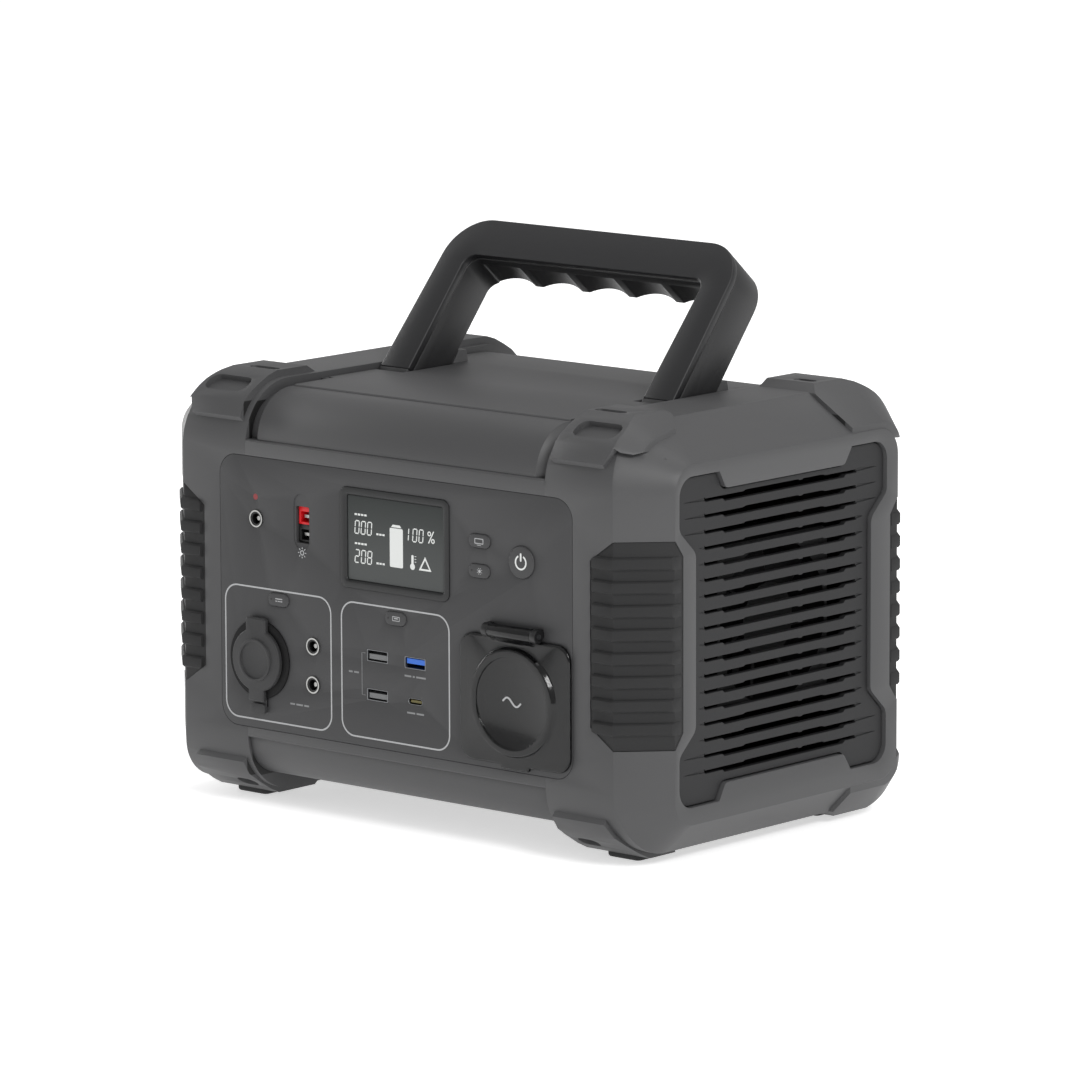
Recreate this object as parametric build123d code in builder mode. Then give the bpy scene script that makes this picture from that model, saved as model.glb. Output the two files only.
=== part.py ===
from build123d import *
import math
import os

# Portable power station: two hollow end caps joined by a top cover, a bottom tray, a
# front frame and a rear panel; a control panel with sockets; a carry handle on two
# pivots; battery pack, inverter and two fans inside.
# Millimetres, +Z up, front towards -Y, +X on the viewer's right from the front.
# Origin: middle of the footprint, on the floor.
# "back" is a distance behind the front face, "up" a height above the body's mid-plane.
# Tables hold (back, up), (x, up) or (x, back) pairs, as noted beside each.

# ---------------------------------------------------------------- driving sizes
HALF_WIDTH = 154.2
DEPTH = 202.6              # front face to rear face
MID_BACK = DEPTH / 2
FRONT_Y = -98.7            # y of the front face
SEAM_X = 93.5              # inner face of the end caps
FOOT_HEIGHT = 3.0
LUG_BOTTOM = -101.5        # up of the undersides the feet sit in
MID_Z = FOOT_HEIGHT - LUG_BOTTOM    # body's mid-plane above the floor
BODY_HEIGHT = 198.0        # end caps without lugs and feet
WALL = 3.0                 # covers, frames and panels
SKIN_INSET = 1.5           # centre covers behind the end caps' front and rear faces
LIP_TOP, LIP_BOTTOM = 72.8, -70.5   # up of the crease lines of the centre section
COVER_TOP = 96.0
TRAY_BOTTOM = -90.0
REAR_SEAM = 60.3           # up of the joint between top cover and rear panel
PANEL_WIDTH, PANEL_HEIGHT, PANEL_RADIUS = 220.0, 130.0, 10.0
PANEL_GAP = 0.25           # clearance round the control panel
ROOT_HALF = math.sqrt(0.5)


def y_at(back):
    """y of a point behind the front face"""
    return FRONT_Y + back


def z_at(up):
    """z of a point above the mid-plane"""
    return MID_Z + up


def yz(points):
    """(back, up) pairs as (y, z)"""
    return [(y_at(back), z_at(up)) for back, up in points]


def xy(points):
    """(x, back) pairs as (x, y)"""
    return [(x, y_at(back)) for x, back in points]


def front_plane(back):
    """plane facing the viewer (-Y normal), local x = X, local y = up"""
    return Plane(origin=(0, y_at(back), MID_Z), x_dir=(1, 0, 0), z_dir=(0, -1, 0))


def side_plane(x):
    """plane facing +X, local x = Y, local y = Z"""
    return Plane(origin=(x, 0, 0), x_dir=(0, 1, 0), z_dir=(1, 0, 0))


def flat_plane(up):
    """plane facing +Z, local x = X, local y = back"""
    return Plane(origin=(0, FRONT_Y, z_at(up)), x_dir=(1, 0, 0), z_dir=(0, 0, 1))


MID_DEPTH_PLANE = Plane(origin=(0, y_at(MID_BACK), 0), z_dir=(0, 1, 0))


def both_sides(x, other):
    """a place and its mirror image in x"""
    return [(x, other), (-x, other)]


def mirrored(part, plane):
    with BuildPart() as image:
        mirror(part, about=plane)
    return image.part


def save(part, name):
    part.label = name
    export_step(part, "parts/" + name + ".step")


def save_pair(right_part, right_name, left_name):
    """save a right-hand piece and its left-hand mirror image"""
    save(right_part, right_name)
    save(mirrored(right_part, Plane.YZ), left_name)


# ---------------------------------------------------------------- end caps
CORNER_RADIUS = 30.0       # side-view corners
VERTICAL_CHAMFER = 20.0    # corners seen from above
TOP_FACET_X, TOP_FACET_Z = 27.4, 17.0
BOTTOM_FACET = 14.3
SIDE_FACE_RADIUS = 13.0    # corners of the flat side face
LUG_MARGIN = 2.0           # lugs may stand this far outside the cap's envelope

# lug side-view profiles at the front corners (back, up)
LUG_TOP_PROFILE = [
    (0.2, 83.0), (3.4, 90.2), (7.6, 94.0), (13.5, 97.4), (20.0, 100.6), (26.0, 102.4),
    (47.0, 102.4), (53.5, 98.6), (53.5, 80.0), (8.0, 75.0)]
LUG_BOTTOM_PROFILE = [
    (0.4, -83.0), (4.4, -89.4), (11.0, -93.8), (18.5, -98.4), (25.0, LUG_BOTTOM),
    (50.0, LUG_BOTTOM), (54.0, -98.6), (54.0, -80.0), (8.0, -75.0)]
# lug outlines from above (x, back); the rear one is measured from the rear face
LUG_PLAN = [
    (97.0, -6.0), (141.5, -6.0), (141.5, 8.0), (138.5, 30.0), (136.0, 42.0),
    (123.0, 53.6), (97.0, 53.6)]
LUG_PLAN_REAR = [
    (97.0, -6.0), (141.5, -6.0), (154.0, 20.0), (154.0, 59.0), (131.0, 53.2), (97.0, 53.6)]
# taken off the lugs' outer ends (x, up): a top lug keeps a rounded tongue, a bottom
# lug ends in a plain slope
LUG_TRIM_BOTTOM = [
    (126.0, -70.0), (126.0, -78.0), (131.5, -90.4), (136.5, -106.0), (160.0, -106.0),
    (160.0, -70.0)]
LUG_TRIM_TOP = [
    (126.0, 70.0), (126.0, 78.0), (131.5, 90.4), (134.2, 88.6), (138.4, 87.6),
    (142.0, 88.8), (145.0, 92.0), (160.0, 92.0), (160.0, 70.0)]

# inner cavities: from x, to x, gap to the front and rear faces, half height at that
# gap, half height further in
CAVITIES = [(SEAM_X, 116.0, 3.0, 71.0, 90.0), (116.0, 134.0, 8.0, 50.0, 88.0)]
CAVITY_SLOPE_END = 28.0    # back where a cavity reaches its full height
FAN_BAY_X = 134.0
GRILLE_X = 149.2           # inner face of the vent grille

FOOT_X, FOOT_BACK = 117, 36
FOOT_WIDTH, FOOT_DEPTH, FOOT_RADIUS = 20, 19, 3
FOOT_RECESS = 1.2
SCREW_X, SCREW_UP = 103, 52


def screw_places(back, turn, sides=(1, -1)):
    """case screw places, turned about X so that local z runs front to rear"""
    return [Location((side * SCREW_X, y_at(back), z_at(end * SCREW_UP)), (turn, 0, 0))
            for side in sides for end in (1, -1)]


def cap_envelope(grow):
    """flats that lean in towards the side face, joined by conical corners"""
    with BuildPart() as envelope:
        for x in (SEAM_X, HALF_WIDTH):
            inward = HALF_WIDTH - x
            inset = VERTICAL_CHAMFER - inward - grow / ROOT_HALF
            low = -BODY_HEIGHT / 2 + BOTTOM_FACET - inward - grow / ROOT_HALF
            high = (BODY_HEIGHT / 2 - TOP_FACET_Z + inward * TOP_FACET_Z / TOP_FACET_X
                    + grow * 1.18)
            with BuildSketch(side_plane(x)):
                with Locations((y_at(MID_BACK), z_at((low + high) / 2))):
                    RectangleRounded(DEPTH - 2 * inset, high - low,
                                     SIDE_FACE_RADIUS + 0.75 * inward)
        loft(ruled=True)
    return envelope.part


def corner_lugs():
    """the four lugs of the right end cap"""
    envelope = cap_envelope(LUG_MARGIN)
    with BuildPart() as lugs:
        for profile in (LUG_TOP_PROFILE, LUG_BOTTOM_PROFILE):
            with BuildSketch(side_plane(SEAM_X)):
                with BuildLine():
                    Polyline(*yz(profile), close=True)
                make_face()
                with BuildLine():
                    Polyline(*yz([(DEPTH - back, up) for back, up in profile]), close=True)
                make_face()
            extrude(amount=60)
        with BuildSketch(Plane.XY):
            with BuildLine():
                Polyline(*xy(LUG_PLAN), close=True)
            make_face()
            with BuildLine():
                Polyline(*xy([(x, DEPTH - back) for x, back in LUG_PLAN_REAR]), close=True)
            make_face()
        extrude(amount=260, mode=Mode.INTERSECT)
        add(envelope, mode=Mode.INTERSECT)
        # the bottom lugs and front top lug are trimmed over the front 60 mm only
        with BuildSketch(front_plane(-10)):
            for trim in (LUG_TRIM_TOP, LUG_TRIM_BOTTOM):
                with BuildLine():
                    Polyline(*trim, close=True)
                make_face()
        extrude(amount=-70, mode=Mode.SUBTRACT)
    return lugs.part


def lug_recesses():
    """shallow recesses: wide in each top slope, small in each bottom slope, slots on top"""
    top_slope = Plane(origin=(115.2, y_at(12.0), z_at(96.4)), x_dir=(1, 0, 0),
                      z_dir=(0, -0.47, 0.883))
    bottom_slope = Plane(origin=(107.5, y_at(14.5), z_at(-95.9)), x_dir=(1, 0, 0),
                         z_dir=(0, -0.54, -0.84))
    clear = 4.0            # the cutters start this far outside the slope
    with BuildPart() as recesses:
        with BuildSketch(top_slope.offset(clear)):
            RectangleRounded(25.6, 11.4, 4.6)
        extrude(amount=-(clear + 2.8))
        with BuildSketch(bottom_slope.offset(clear)):
            RectangleRounded(12.0, 7.6, 3.7)
        extrude(amount=-(clear + 2.2))
        mirror(recesses.part, about=MID_DEPTH_PLANE)
        with BuildSketch(flat_plane(99.4)):
            with Locations((108.0, 29.8)):
                SlotOverall(18.0, 5.4)
            with Locations((115.5, 161.2)):
                SlotOverall(13.0, 4.8)
        extrude(amount=10)
    return recesses.part


# vent opening in the side face (back, up)
VENT_OPENING = [
    (23.0, 52.0), (23.0, 76.5), (51.5, 76.5), (56.0, 68.4), (142.5, 68.4), (148.0, 76.5),
    (174.3, 76.5), (174.3, 52.0), (162.5, 41.0), (162.5, -41.0), (174.3, -52.0),
    (174.3, -76.5), (148.0, -76.5), (142.5, -68.4), (56.0, -68.4), (51.5, -76.5),
    (23.0, -76.5), (23.0, -52.0), (34.7, -41.0), (34.7, 41.0)]


def opening_face(shrink):
    """vent opening in the current sketch plane, shrunk evenly"""
    def at_height(vertex, up):
        return abs(abs(vertex.Y - MID_Z) - up) < 0.1

    with BuildSketch(mode=Mode.PRIVATE) as face:
        with BuildLine():
            Polyline(*yz(VENT_OPENING), close=True)
        make_face()
        fillet(face.vertices().filter_by(
            lambda v: at_height(v, 76.5) and (v.X < y_at(30) or v.X > y_at(165))), radius=9)
        fillet(face.vertices().filter_by(
            lambda v: at_height(v, 52) or at_height(v, 41)), radius=6)
        fillet(face.vertices().filter_by(lambda v: at_height(v, 68.4)), radius=3)
        if shrink:
            offset(amount=-shrink, kind=Kind.INTERSECTION, mode=Mode.REPLACE)
    return face.sketch


# ---------------------------------------------------------------- rubber corner grips
GRIP_HEIGHT = 96.0
GRIP_CLEARANCE = 0.2
RIB_PITCH, RIB_COUNT, RIB_WIDTH = 10.9, 8, 6.0
# sections of a front right grip and its seat (x, back)
GRIP_SEAT_SECTION = [
    (120.5, -6.0), (140.0, -6.0), (162.0, 15.0), (162.0, 25.8), (151.7, 25.8),
    (151.7, 21.0), (133.2, 2.5), (120.5, 2.5)]
GRIP_BASE_SECTION = [
    (120.8, 0.3), (134.1, 0.3), (153.9, 20.1), (153.9, 25.5), (151.8, 25.5),
    (151.8, 21.0), (133.1, 2.4), (120.8, 2.4)]
GRIP_RIB_SECTION = [
    (122.4, -1.4), (134.8, -1.4), (154.1, 17.9), (154.1, 24.4), (151.9, 24.4),
    (151.9, 21.2), (133.0, 2.3), (122.4, 2.3)]


def grip_blank(margin):
    """eight-sided outline of a front grip, as seen from the front and from the side"""
    beyond = GRIP_HEIGHT / 2 + 2
    with BuildPart() as blank:
        with BuildSketch(front_plane(-10)):
            with Locations((140, 0)):
                Rectangle(44, GRIP_HEIGHT + 2 * margin)
            for side in (1, -1):
                with BuildLine():
                    Polyline((118 - margin, side * beyond), (136.8 - margin, side * beyond),
                             (118 - margin, side * 36.7), close=True)
                make_face(mode=Mode.SUBTRACT)
        extrude(amount=-40)
        with BuildSketch(side_plane(110)):
            with Locations((y_at(8), MID_Z)):
                Rectangle(40, GRIP_HEIGHT + 2 * margin)
            for side in (1, -1):
                with BuildLine():
                    Polyline(*yz([(18.8 + margin, side * beyond), (30 + margin, side * beyond),
                                  (30 + margin, side * 34.7)]), close=True)
                make_face(mode=Mode.SUBTRACT)
        extrude(amount=60, mode=Mode.INTERSECT)
    return blank.part


def grip_seats():
    """cutters for the front and rear grip seats of the right end cap"""
    blank = grip_blank(GRIP_CLEARANCE)
    with BuildPart() as seats:
        with BuildSketch(Plane.XY.offset(z_at(-GRIP_HEIGHT / 2 - 2))):
            with BuildLine():
                Polyline(*xy(GRIP_SEAT_SECTION), close=True)
            make_face()
        extrude(amount=GRIP_HEIGHT + 4)
        add(blank, mode=Mode.INTERSECT)
        mirror(seats.part, about=MID_DEPTH_PLANE)
    return seats.part


def grip_front_right():
    blank = grip_blank(0.0)
    with BuildPart() as grip:
        with BuildSketch(Plane.XY.offset(z_at(-GRIP_HEIGHT / 2))):
            with BuildLine():
                Polyline(*xy(GRIP_BASE_SECTION), close=True)
            make_face()
        extrude(amount=GRIP_HEIGHT)
        for i in range(RIB_COUNT):
            rib_up = (i - (RIB_COUNT - 1) / 2) * RIB_PITCH
            with BuildSketch(Plane.XY.offset(z_at(rib_up - RIB_WIDTH / 2))):
                with BuildLine():
                    Polyline(*xy(GRIP_RIB_SECTION), close=True)
                make_face()
            extrude(amount=RIB_WIDTH)
        # outer rib edges eased, then the pad trimmed to its eight-sided outline
        outer_edges = grip.edges().filter_by(
            lambda e: abs(e.tangent_at(0.5).Z) < 0.01 and e.length > 10
            and (e.center().Y < y_at(-1.0)
                 or e.center().X - (e.center().Y - FRONT_Y) > 135.5))
        chamfer(outer_edges, length=0.9)
        add(blank, mode=Mode.INTERSECT)
    return grip.part


def right_end_cap():
    envelope = cap_envelope(0.0)
    lugs = corner_lugs()
    recesses = lug_recesses()
    seats = grip_seats()
    with BuildPart() as cap:
        with BuildSketch(side_plane(SEAM_X)):
            with Locations((y_at(MID_BACK), MID_Z)):
                RectangleRounded(DEPTH, BODY_HEIGHT, CORNER_RADIUS)
        extrude(amount=HALF_WIDTH - SEAM_X)
        add(envelope, mode=Mode.INTERSECT)
        add(lugs)
        add(recesses, mode=Mode.SUBTRACT)
        # cavities
        for x_start, x_end, gap, low_half, high_half in CAVITIES:
            slope_end = CAVITY_SLOPE_END
            with BuildSketch(side_plane(x_start)):
                with BuildLine():
                    Polyline(*yz([
                        (gap, -low_half), (gap, low_half), (slope_end, high_half),
                        (DEPTH - slope_end, high_half), (DEPTH - gap, low_half),
                        (DEPTH - gap, -low_half), (DEPTH - slope_end, -high_half),
                        (slope_end, -high_half)]), close=True)
                make_face()
            extrude(amount=x_end - x_start, mode=Mode.SUBTRACT)
        with BuildSketch(side_plane(FAN_BAY_X)):
            with Locations((y_at(MID_BACK), MID_Z)):
                Rectangle(122.6, 132)
        extrude(amount=GRILLE_X - FAN_BAY_X, mode=Mode.SUBTRACT)
        # seat for the vent grille
        with BuildSketch(side_plane(GRILLE_X)):
            add(opening_face(0))
        extrude(amount=10, mode=Mode.SUBTRACT)
        add(seats, mode=Mode.SUBTRACT)
        # control panel seat in the front wall
        with BuildSketch(front_plane(-1)):
            RectangleRounded(PANEL_WIDTH + 2 * PANEL_GAP, PANEL_HEIGHT + 2 * PANEL_GAP,
                             PANEL_RADIUS + PANEL_GAP)
        extrude(amount=-(1 + WALL), mode=Mode.SUBTRACT)
        # room for the outer cheek of the handle bracket
        with BuildSketch(flat_plane(80)):
            with Locations((SEAM_X + 1.5, MID_BACK)):
                Rectangle(3.8, 36)
        extrude(amount=13.6, mode=Mode.SUBTRACT)
        # rear screw holes and their counterbores
        with Locations(*screw_places(DEPTH - 4, 90, sides=(1,))):
            Cylinder(1.7, 12, mode=Mode.SUBTRACT)
        with Locations(*screw_places(DEPTH, 90, sides=(1,))):
            Cylinder(3.3, 3.0, mode=Mode.SUBTRACT)
        # foot recesses
        with BuildSketch(flat_plane(LUG_BOTTOM)):
            with Locations((FOOT_X, FOOT_BACK), (FOOT_X, DEPTH - FOOT_BACK)):
                RectangleRounded(FOOT_WIDTH + 0.2, FOOT_DEPTH + 0.2, FOOT_RADIUS + 0.1)
        extrude(amount=FOOT_RECESS, mode=Mode.SUBTRACT)
    return cap.part


def rubber_feet():
    with BuildPart() as feet:
        with BuildSketch(flat_plane(-MID_Z)):
            with Locations(*[(side * FOOT_X, back) for side in (1, -1)
                             for back in (FOOT_BACK, DEPTH - FOOT_BACK)]):
                RectangleRounded(FOOT_WIDTH, FOOT_DEPTH, FOOT_RADIUS)
        extrude(amount=FOOT_HEIGHT + FOOT_RECESS)
        chamfer(feet.faces().sort_by(Axis.Z)[:4].edges(), length=0.8)
    return feet.part


# ---------------------------------------------------------------- vent grilles
SLOT_PITCH, SLOT_COUNT, SLOT_TOP = 7.41, 18, 63.5
SLOT_FRONT, SLOT_REAR = 43.5, 153.8
# one slot (back, height above its pitch line)
SLOT_OUTLINE = [
    (SLOT_FRONT, 1.3), (71.0, 1.3), (72.4, 1.9), (111.0, 1.9), (111.4, 1.4), (113.8, 1.4),
    (114.2, 1.9), (129.0, 1.9), (130.4, 1.3), (SLOT_REAR, 1.3), (SLOT_REAR, -0.3),
    (146.0, -0.3), (144.5, -1.5), (57.6, -1.5), (56.2, -0.3), (SLOT_FRONT, -0.3)]


def right_vent_grille():
    thickness, groove_depth = 3.0, 0.5
    with BuildPart() as grille:
        with BuildSketch(side_plane(GRILLE_X)):
            add(opening_face(0.8))
        extrude(amount=thickness)
        with BuildSketch(side_plane(148.0)):
            for i in range(SLOT_COUNT):
                slot_up = SLOT_TOP - i * SLOT_PITCH
                with BuildLine():
                    Polyline(*yz([(back, slot_up + rise) for back, rise in SLOT_OUTLINE]),
                             close=True)
                make_face()
        extrude(amount=8, mode=Mode.SUBTRACT)
        # shallow run-out grooves beyond the slot ends
        with BuildSketch(side_plane(GRILLE_X + thickness - groove_depth)):
            for i in range(SLOT_COUNT):
                tip_up = SLOT_TOP - i * SLOT_PITCH + 0.9
                # the opening is wider near its top and bottom
                front_tip, rear_tip = (28.0, 169.0) if abs(tip_up) > 48 else (39.0, 158.5)
                for tip, slot_end in ((front_tip, SLOT_FRONT), (rear_tip, SLOT_REAR)):
                    with BuildLine():
                        Polyline(*yz([(tip, tip_up), (slot_end, tip_up + 0.9),
                                      (slot_end, tip_up - 0.7)]), close=True)
                    make_face()
        extrude(amount=2, mode=Mode.SUBTRACT)
    return grille.part


# ---------------------------------------------------------------- centre covers
FRONT_ROLL_RADIUS = COVER_TOP - LIP_TOP
FRONT_ROLL_BACK = SKIN_INSET + FRONT_ROLL_RADIUS
REAR_ROLL_RADIUS = 34.5
TRAY_ROLL_RADIUS = LIP_BOTTOM - TRAY_BOTTOM
CHANNEL_END = 53.0         # back where the channels beside the front lugs end
LEG_SLOT_X0, LEG_SLOT_X1 = 72.2, 96.0         # handle leg slots
LEG_SLOT_FRONT, LEG_SLOT_REAR = 87.6, 125.2
LEG_SLOT_X = (LEG_SLOT_X0 + LEG_SLOT_X1) / 2
LEG_SLOT_BACK = (LEG_SLOT_FRONT + LEG_SLOT_REAR) / 2
LEG_SLOT_WIDTH = LEG_SLOT_X1 - LEG_SLOT_X0
LEG_SLOT_DEPTH = LEG_SLOT_REAR - LEG_SLOT_FRONT
PLATE_FRONT, PLATE_REAR = 25.5, 167           # seat of the top plate
PLATE_BACK = (PLATE_FRONT + PLATE_REAR) / 2
PLATE_SEAT_DEPTH = 1.0
PLATE_NOTCHES = both_sides(90.0, 38.0)        # (x, back)


def roll_middle(center, radius, back_sign, up_sign):
    """(back, up) half way round a quarter-circle roll"""
    reach = radius * ROOT_HALF
    return center[0] + back_sign * reach, center[1] + up_sign * reach


def draw_loop(points, arc_middles):
    """closed loop through (back, up) points; an arc leaves each point with a middle"""
    corners = yz(points)
    for i, (start, end) in enumerate(zip(corners, corners[1:] + corners[:1])):
        if i in arc_middles:
            ThreePointArc(start, yz([arc_middles[i]])[0], end)
        else:
            Line(start, end)


def draw_cover_band(outer, inner):
    """band between two radii round the front roll, carried back over the flat top"""
    center = (FRONT_ROLL_BACK, LIP_TOP)
    corners = yz([
        (center[0] - outer, center[1]), (center[0], center[1] + outer),
        (CHANNEL_END, center[1] + outer), (CHANNEL_END, center[1] + inner),
        (center[0], center[1] + inner), (center[0] - inner, center[1])])
    middles = yz([roll_middle(center, outer, -1, 1), roll_middle(center, inner, -1, 1)])
    ThreePointArc(corners[0], middles[0], corners[1])
    Polyline(corners[1], corners[2], corners[3], corners[4])
    ThreePointArc(corners[4], middles[1], corners[5])
    Line(corners[5], corners[0])


def top_cover():
    radius, rear_radius = FRONT_ROLL_RADIUS, REAR_ROLL_RADIUS
    front = (FRONT_ROLL_BACK, LIP_TOP)
    rear = (DEPTH - SKIN_INSET - rear_radius, COVER_TOP - rear_radius)
    rear_face = rear[0] + rear_radius
    end_x = 84.0           # the thicker ends start here
    slope_x0, slope_x1 = 86.8, 90.4   # sloping inner side of a channel
    channel_top, channel_floor = radius + 4.0, radius - 3.4
    with BuildPart() as cover:
        with BuildSketch(side_plane(-SEAM_X)):
            with BuildLine():
                draw_loop(
                    [(front[0] - radius, front[1]), (front[0], COVER_TOP),
                     (rear[0], COVER_TOP), (rear_face, rear[1]), (rear_face, REAR_SEAM),
                     (rear_face - WALL, REAR_SEAM), (rear_face - WALL, rear[1]),
                     (rear[0], COVER_TOP - WALL), (front[0], COVER_TOP - WALL),
                     (front[0] - radius + WALL, front[1])],
                    {0: roll_middle(front, radius, -1, 1),
                     2: roll_middle(rear, rear_radius, 1, 1),
                     6: roll_middle(rear, rear_radius - WALL, 1, 1),
                     8: roll_middle(front, radius - WALL, -1, 1)})
            make_face()
        extrude(amount=2 * SEAM_X)
        # thicker ends, which carry a channel beside each front lug
        for x in (-SEAM_X, end_x):
            with BuildSketch(side_plane(x)):
                with BuildLine():
                    draw_cover_band(radius - WALL + 0.2, radius - WALL - 2.6)
                make_face()
            extrude(amount=SEAM_X - end_x)
        for side in (1, -1):
            with BuildSketch(side_plane(side * slope_x0)):
                with BuildLine():
                    draw_cover_band(channel_top, radius - 0.02)
                make_face()
            with BuildSketch(side_plane(side * slope_x1)):
                with BuildLine():
                    draw_cover_band(channel_top, channel_floor)
                make_face()
            loft(ruled=True, mode=Mode.SUBTRACT)
            with BuildSketch(side_plane(slope_x1 if side > 0 else -(SEAM_X + 1))):
                with BuildLine():
                    draw_cover_band(channel_top, channel_floor)
                make_face()
            extrude(amount=SEAM_X + 1 - slope_x1, mode=Mode.SUBTRACT)
        # handle leg slots, open to the side
        with BuildSketch(flat_plane(COVER_TOP - 10)):
            with Locations(*both_sides(LEG_SLOT_X, LEG_SLOT_BACK)):
                Rectangle(LEG_SLOT_WIDTH, LEG_SLOT_DEPTH)
        extrude(amount=20, mode=Mode.SUBTRACT)
        # seat for the top plate
        with BuildSketch(flat_plane(COVER_TOP - PLATE_SEAT_DEPTH)):
            with Locations((0, PLATE_BACK)):
                RectangleRounded(2 * 89.7, PLATE_REAR - PLATE_FRONT, 6)
            with Locations(*PLATE_NOTCHES):
                Rectangle(7.2, 32.0, mode=Mode.SUBTRACT)
        extrude(amount=5, mode=Mode.SUBTRACT)
    return cover.part


def top_plate():
    gap = 0.2              # clearance in the seat
    wedge_x0, wedge_x1 = 74.0, 89.3
    # wedge profile (back, up)
    wedge = [(125.6, 95.0), (125.6, 96.2), (130.3, 102.6), (135.4, 102.6), (137.2, 95.0)]
    with BuildPart() as plate:
        with BuildSketch(flat_plane(COVER_TOP - PLATE_SEAT_DEPTH)):
            with Locations((0, PLATE_BACK)):
                RectangleRounded(2 * 89.5, PLATE_REAR - PLATE_FRONT - 2 * gap, 5.8)
            with Locations(*PLATE_NOTCHES):
                Rectangle(7.2 + 2 * gap, 32.0 + 2 * gap, mode=Mode.SUBTRACT)
            with Locations(*both_sides(LEG_SLOT_X - gap, LEG_SLOT_BACK)):
                Rectangle(LEG_SLOT_WIDTH, LEG_SLOT_DEPTH + 2 * gap, mode=Mode.SUBTRACT)
        extrude(amount=1.8)
        end_edges = plate.faces().sort_by(Axis.Z)[-1].edges().filter_by(
            lambda e: e.center().Y < y_at(40) or e.center().Y > y_at(160))
        chamfer(end_edges, length=0.7)
        # wedge blocks that the handle legs lean against
        for x in (wedge_x0, -wedge_x1):
            with BuildSketch(side_plane(x)):
                with BuildLine():
                    Polyline(*yz(wedge), close=True)
                make_face()
            extrude(amount=wedge_x1 - wedge_x0)
    return plate.part


def bottom_tray():
    radius = TRAY_ROLL_RADIUS
    front = (SKIN_INSET + radius, LIP_BOTTOM)
    rear = (DEPTH - SKIN_INSET - radius, LIP_BOTTOM)
    with BuildPart() as tray:
        with BuildSketch(side_plane(-SEAM_X)):
            with BuildLine():
                draw_loop(
                    [(front[0] - radius, front[1]), (front[0], TRAY_BOTTOM),
                     (rear[0], TRAY_BOTTOM), (rear[0] + radius, rear[1]),
                     (rear[0] + radius - WALL, rear[1]), (rear[0], TRAY_BOTTOM + WALL),
                     (front[0], TRAY_BOTTOM + WALL), (front[0] - radius + WALL, front[1])],
                    {0: roll_middle(front, radius, -1, -1),
                     2: roll_middle(rear, radius, 1, -1),
                     4: roll_middle(rear, radius - WALL, 1, -1),
                     6: roll_middle(front, radius - WALL, -1, -1)})
            make_face()
        extrude(amount=2 * SEAM_X)
        # vent slots under the battery
        with BuildSketch(flat_plane(TRAY_BOTTOM - 1)):
            with Locations((0, MID_BACK)):
                with GridLocations(14, 0, 9, 1):
                    SlotOverall(60, 4, rotation=90)
        extrude(amount=5, mode=Mode.SUBTRACT)
    return tray.part


# ---------------------------------------------------------------- front frame, rear panel
AC_X = 76.2                # middle of the AC socket module
AC_BODY_UP = -27.5         # middle of its body behind the panel


def front_frame():
    panel_edge = PANEL_HEIGHT / 2 + PANEL_GAP
    standoffs = [(-88, 62), (0, 62), (88, 62), (-62, -62), (36, -62)]   # (x, up)
    with BuildPart() as frame:
        # ring behind the control panel
        with BuildSketch(front_plane(WALL)):
            RectangleRounded(226, 140, 4)
            RectangleRounded(206, 116, 6, mode=Mode.SUBTRACT)
            with Locations((AC_X, AC_BODY_UP)):
                Rectangle(61.4, 62.8, mode=Mode.SUBTRACT)
        extrude(amount=-WALL)
        # strips above and below the control panel
        with BuildSketch(front_plane(0)):
            with Locations((0, (LIP_TOP + panel_edge) / 2)):
                Rectangle(2 * SEAM_X, LIP_TOP - panel_edge)
            with Locations((0, (LIP_BOTTOM - panel_edge) / 2)):
                Rectangle(2 * SEAM_X, -LIP_BOTTOM - panel_edge)
        extrude(amount=-WALL)
        with BuildSketch(front_plane(WALL)):
            with Locations((0, LIP_TOP - 1.5)):
                Rectangle(2 * SEAM_X, 3.0)
        extrude(amount=-WALL)
        crease_edges = frame.edges().filter_by(Axis.X).filter_by(
            lambda e: e.center().Y < y_at(0.1)
            and (e.center().Z > z_at(72) or e.center().Z < z_at(-70)))
        chamfer(crease_edges, length=0.8)
        # stand-offs for the control board
        with BuildSketch(front_plane(2 * WALL)):
            with Locations(*standoffs):
                Circle(3)
        extrude(amount=-9.0)
    return frame.part


def rear_panel():
    middle = (0, -5)       # (x, up) of the inner frame and the groove
    groove = 0.7
    with BuildPart() as panel:
        with BuildSketch(front_plane(DEPTH - WALL)):
            with Locations((0, (REAR_SEAM + LIP_BOTTOM) / 2)):
                Rectangle(2 * SEAM_X, REAR_SEAM - LIP_BOTTOM)
        extrude(amount=-WALL)
        with BuildSketch(front_plane(DEPTH - 2 * WALL)):
            with Locations(middle):
                RectangleRounded(226, 130, 4)
            with Locations(middle):
                RectangleRounded(150, 90, 4, mode=Mode.SUBTRACT)
        extrude(amount=-WALL)
        with BuildSketch(front_plane(DEPTH - 2 * WALL)):
            with Locations(*both_sides(SCREW_X, SCREW_UP), *both_sides(SCREW_X, -SCREW_UP)):
                Circle(1.5)
        extrude(amount=-WALL, mode=Mode.SUBTRACT)
        # shallow rounded border groove in the rear face
        with BuildSketch(front_plane(DEPTH)):
            with Locations(middle):
                RectangleRounded(160, 100, 8)
            with Locations(middle):
                RectangleRounded(160 - 2 * groove, 100 - 2 * groove, 8 - groove,
                                 mode=Mode.SUBTRACT)
        extrude(amount=0.8, mode=Mode.SUBTRACT)
    return panel.part


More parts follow.
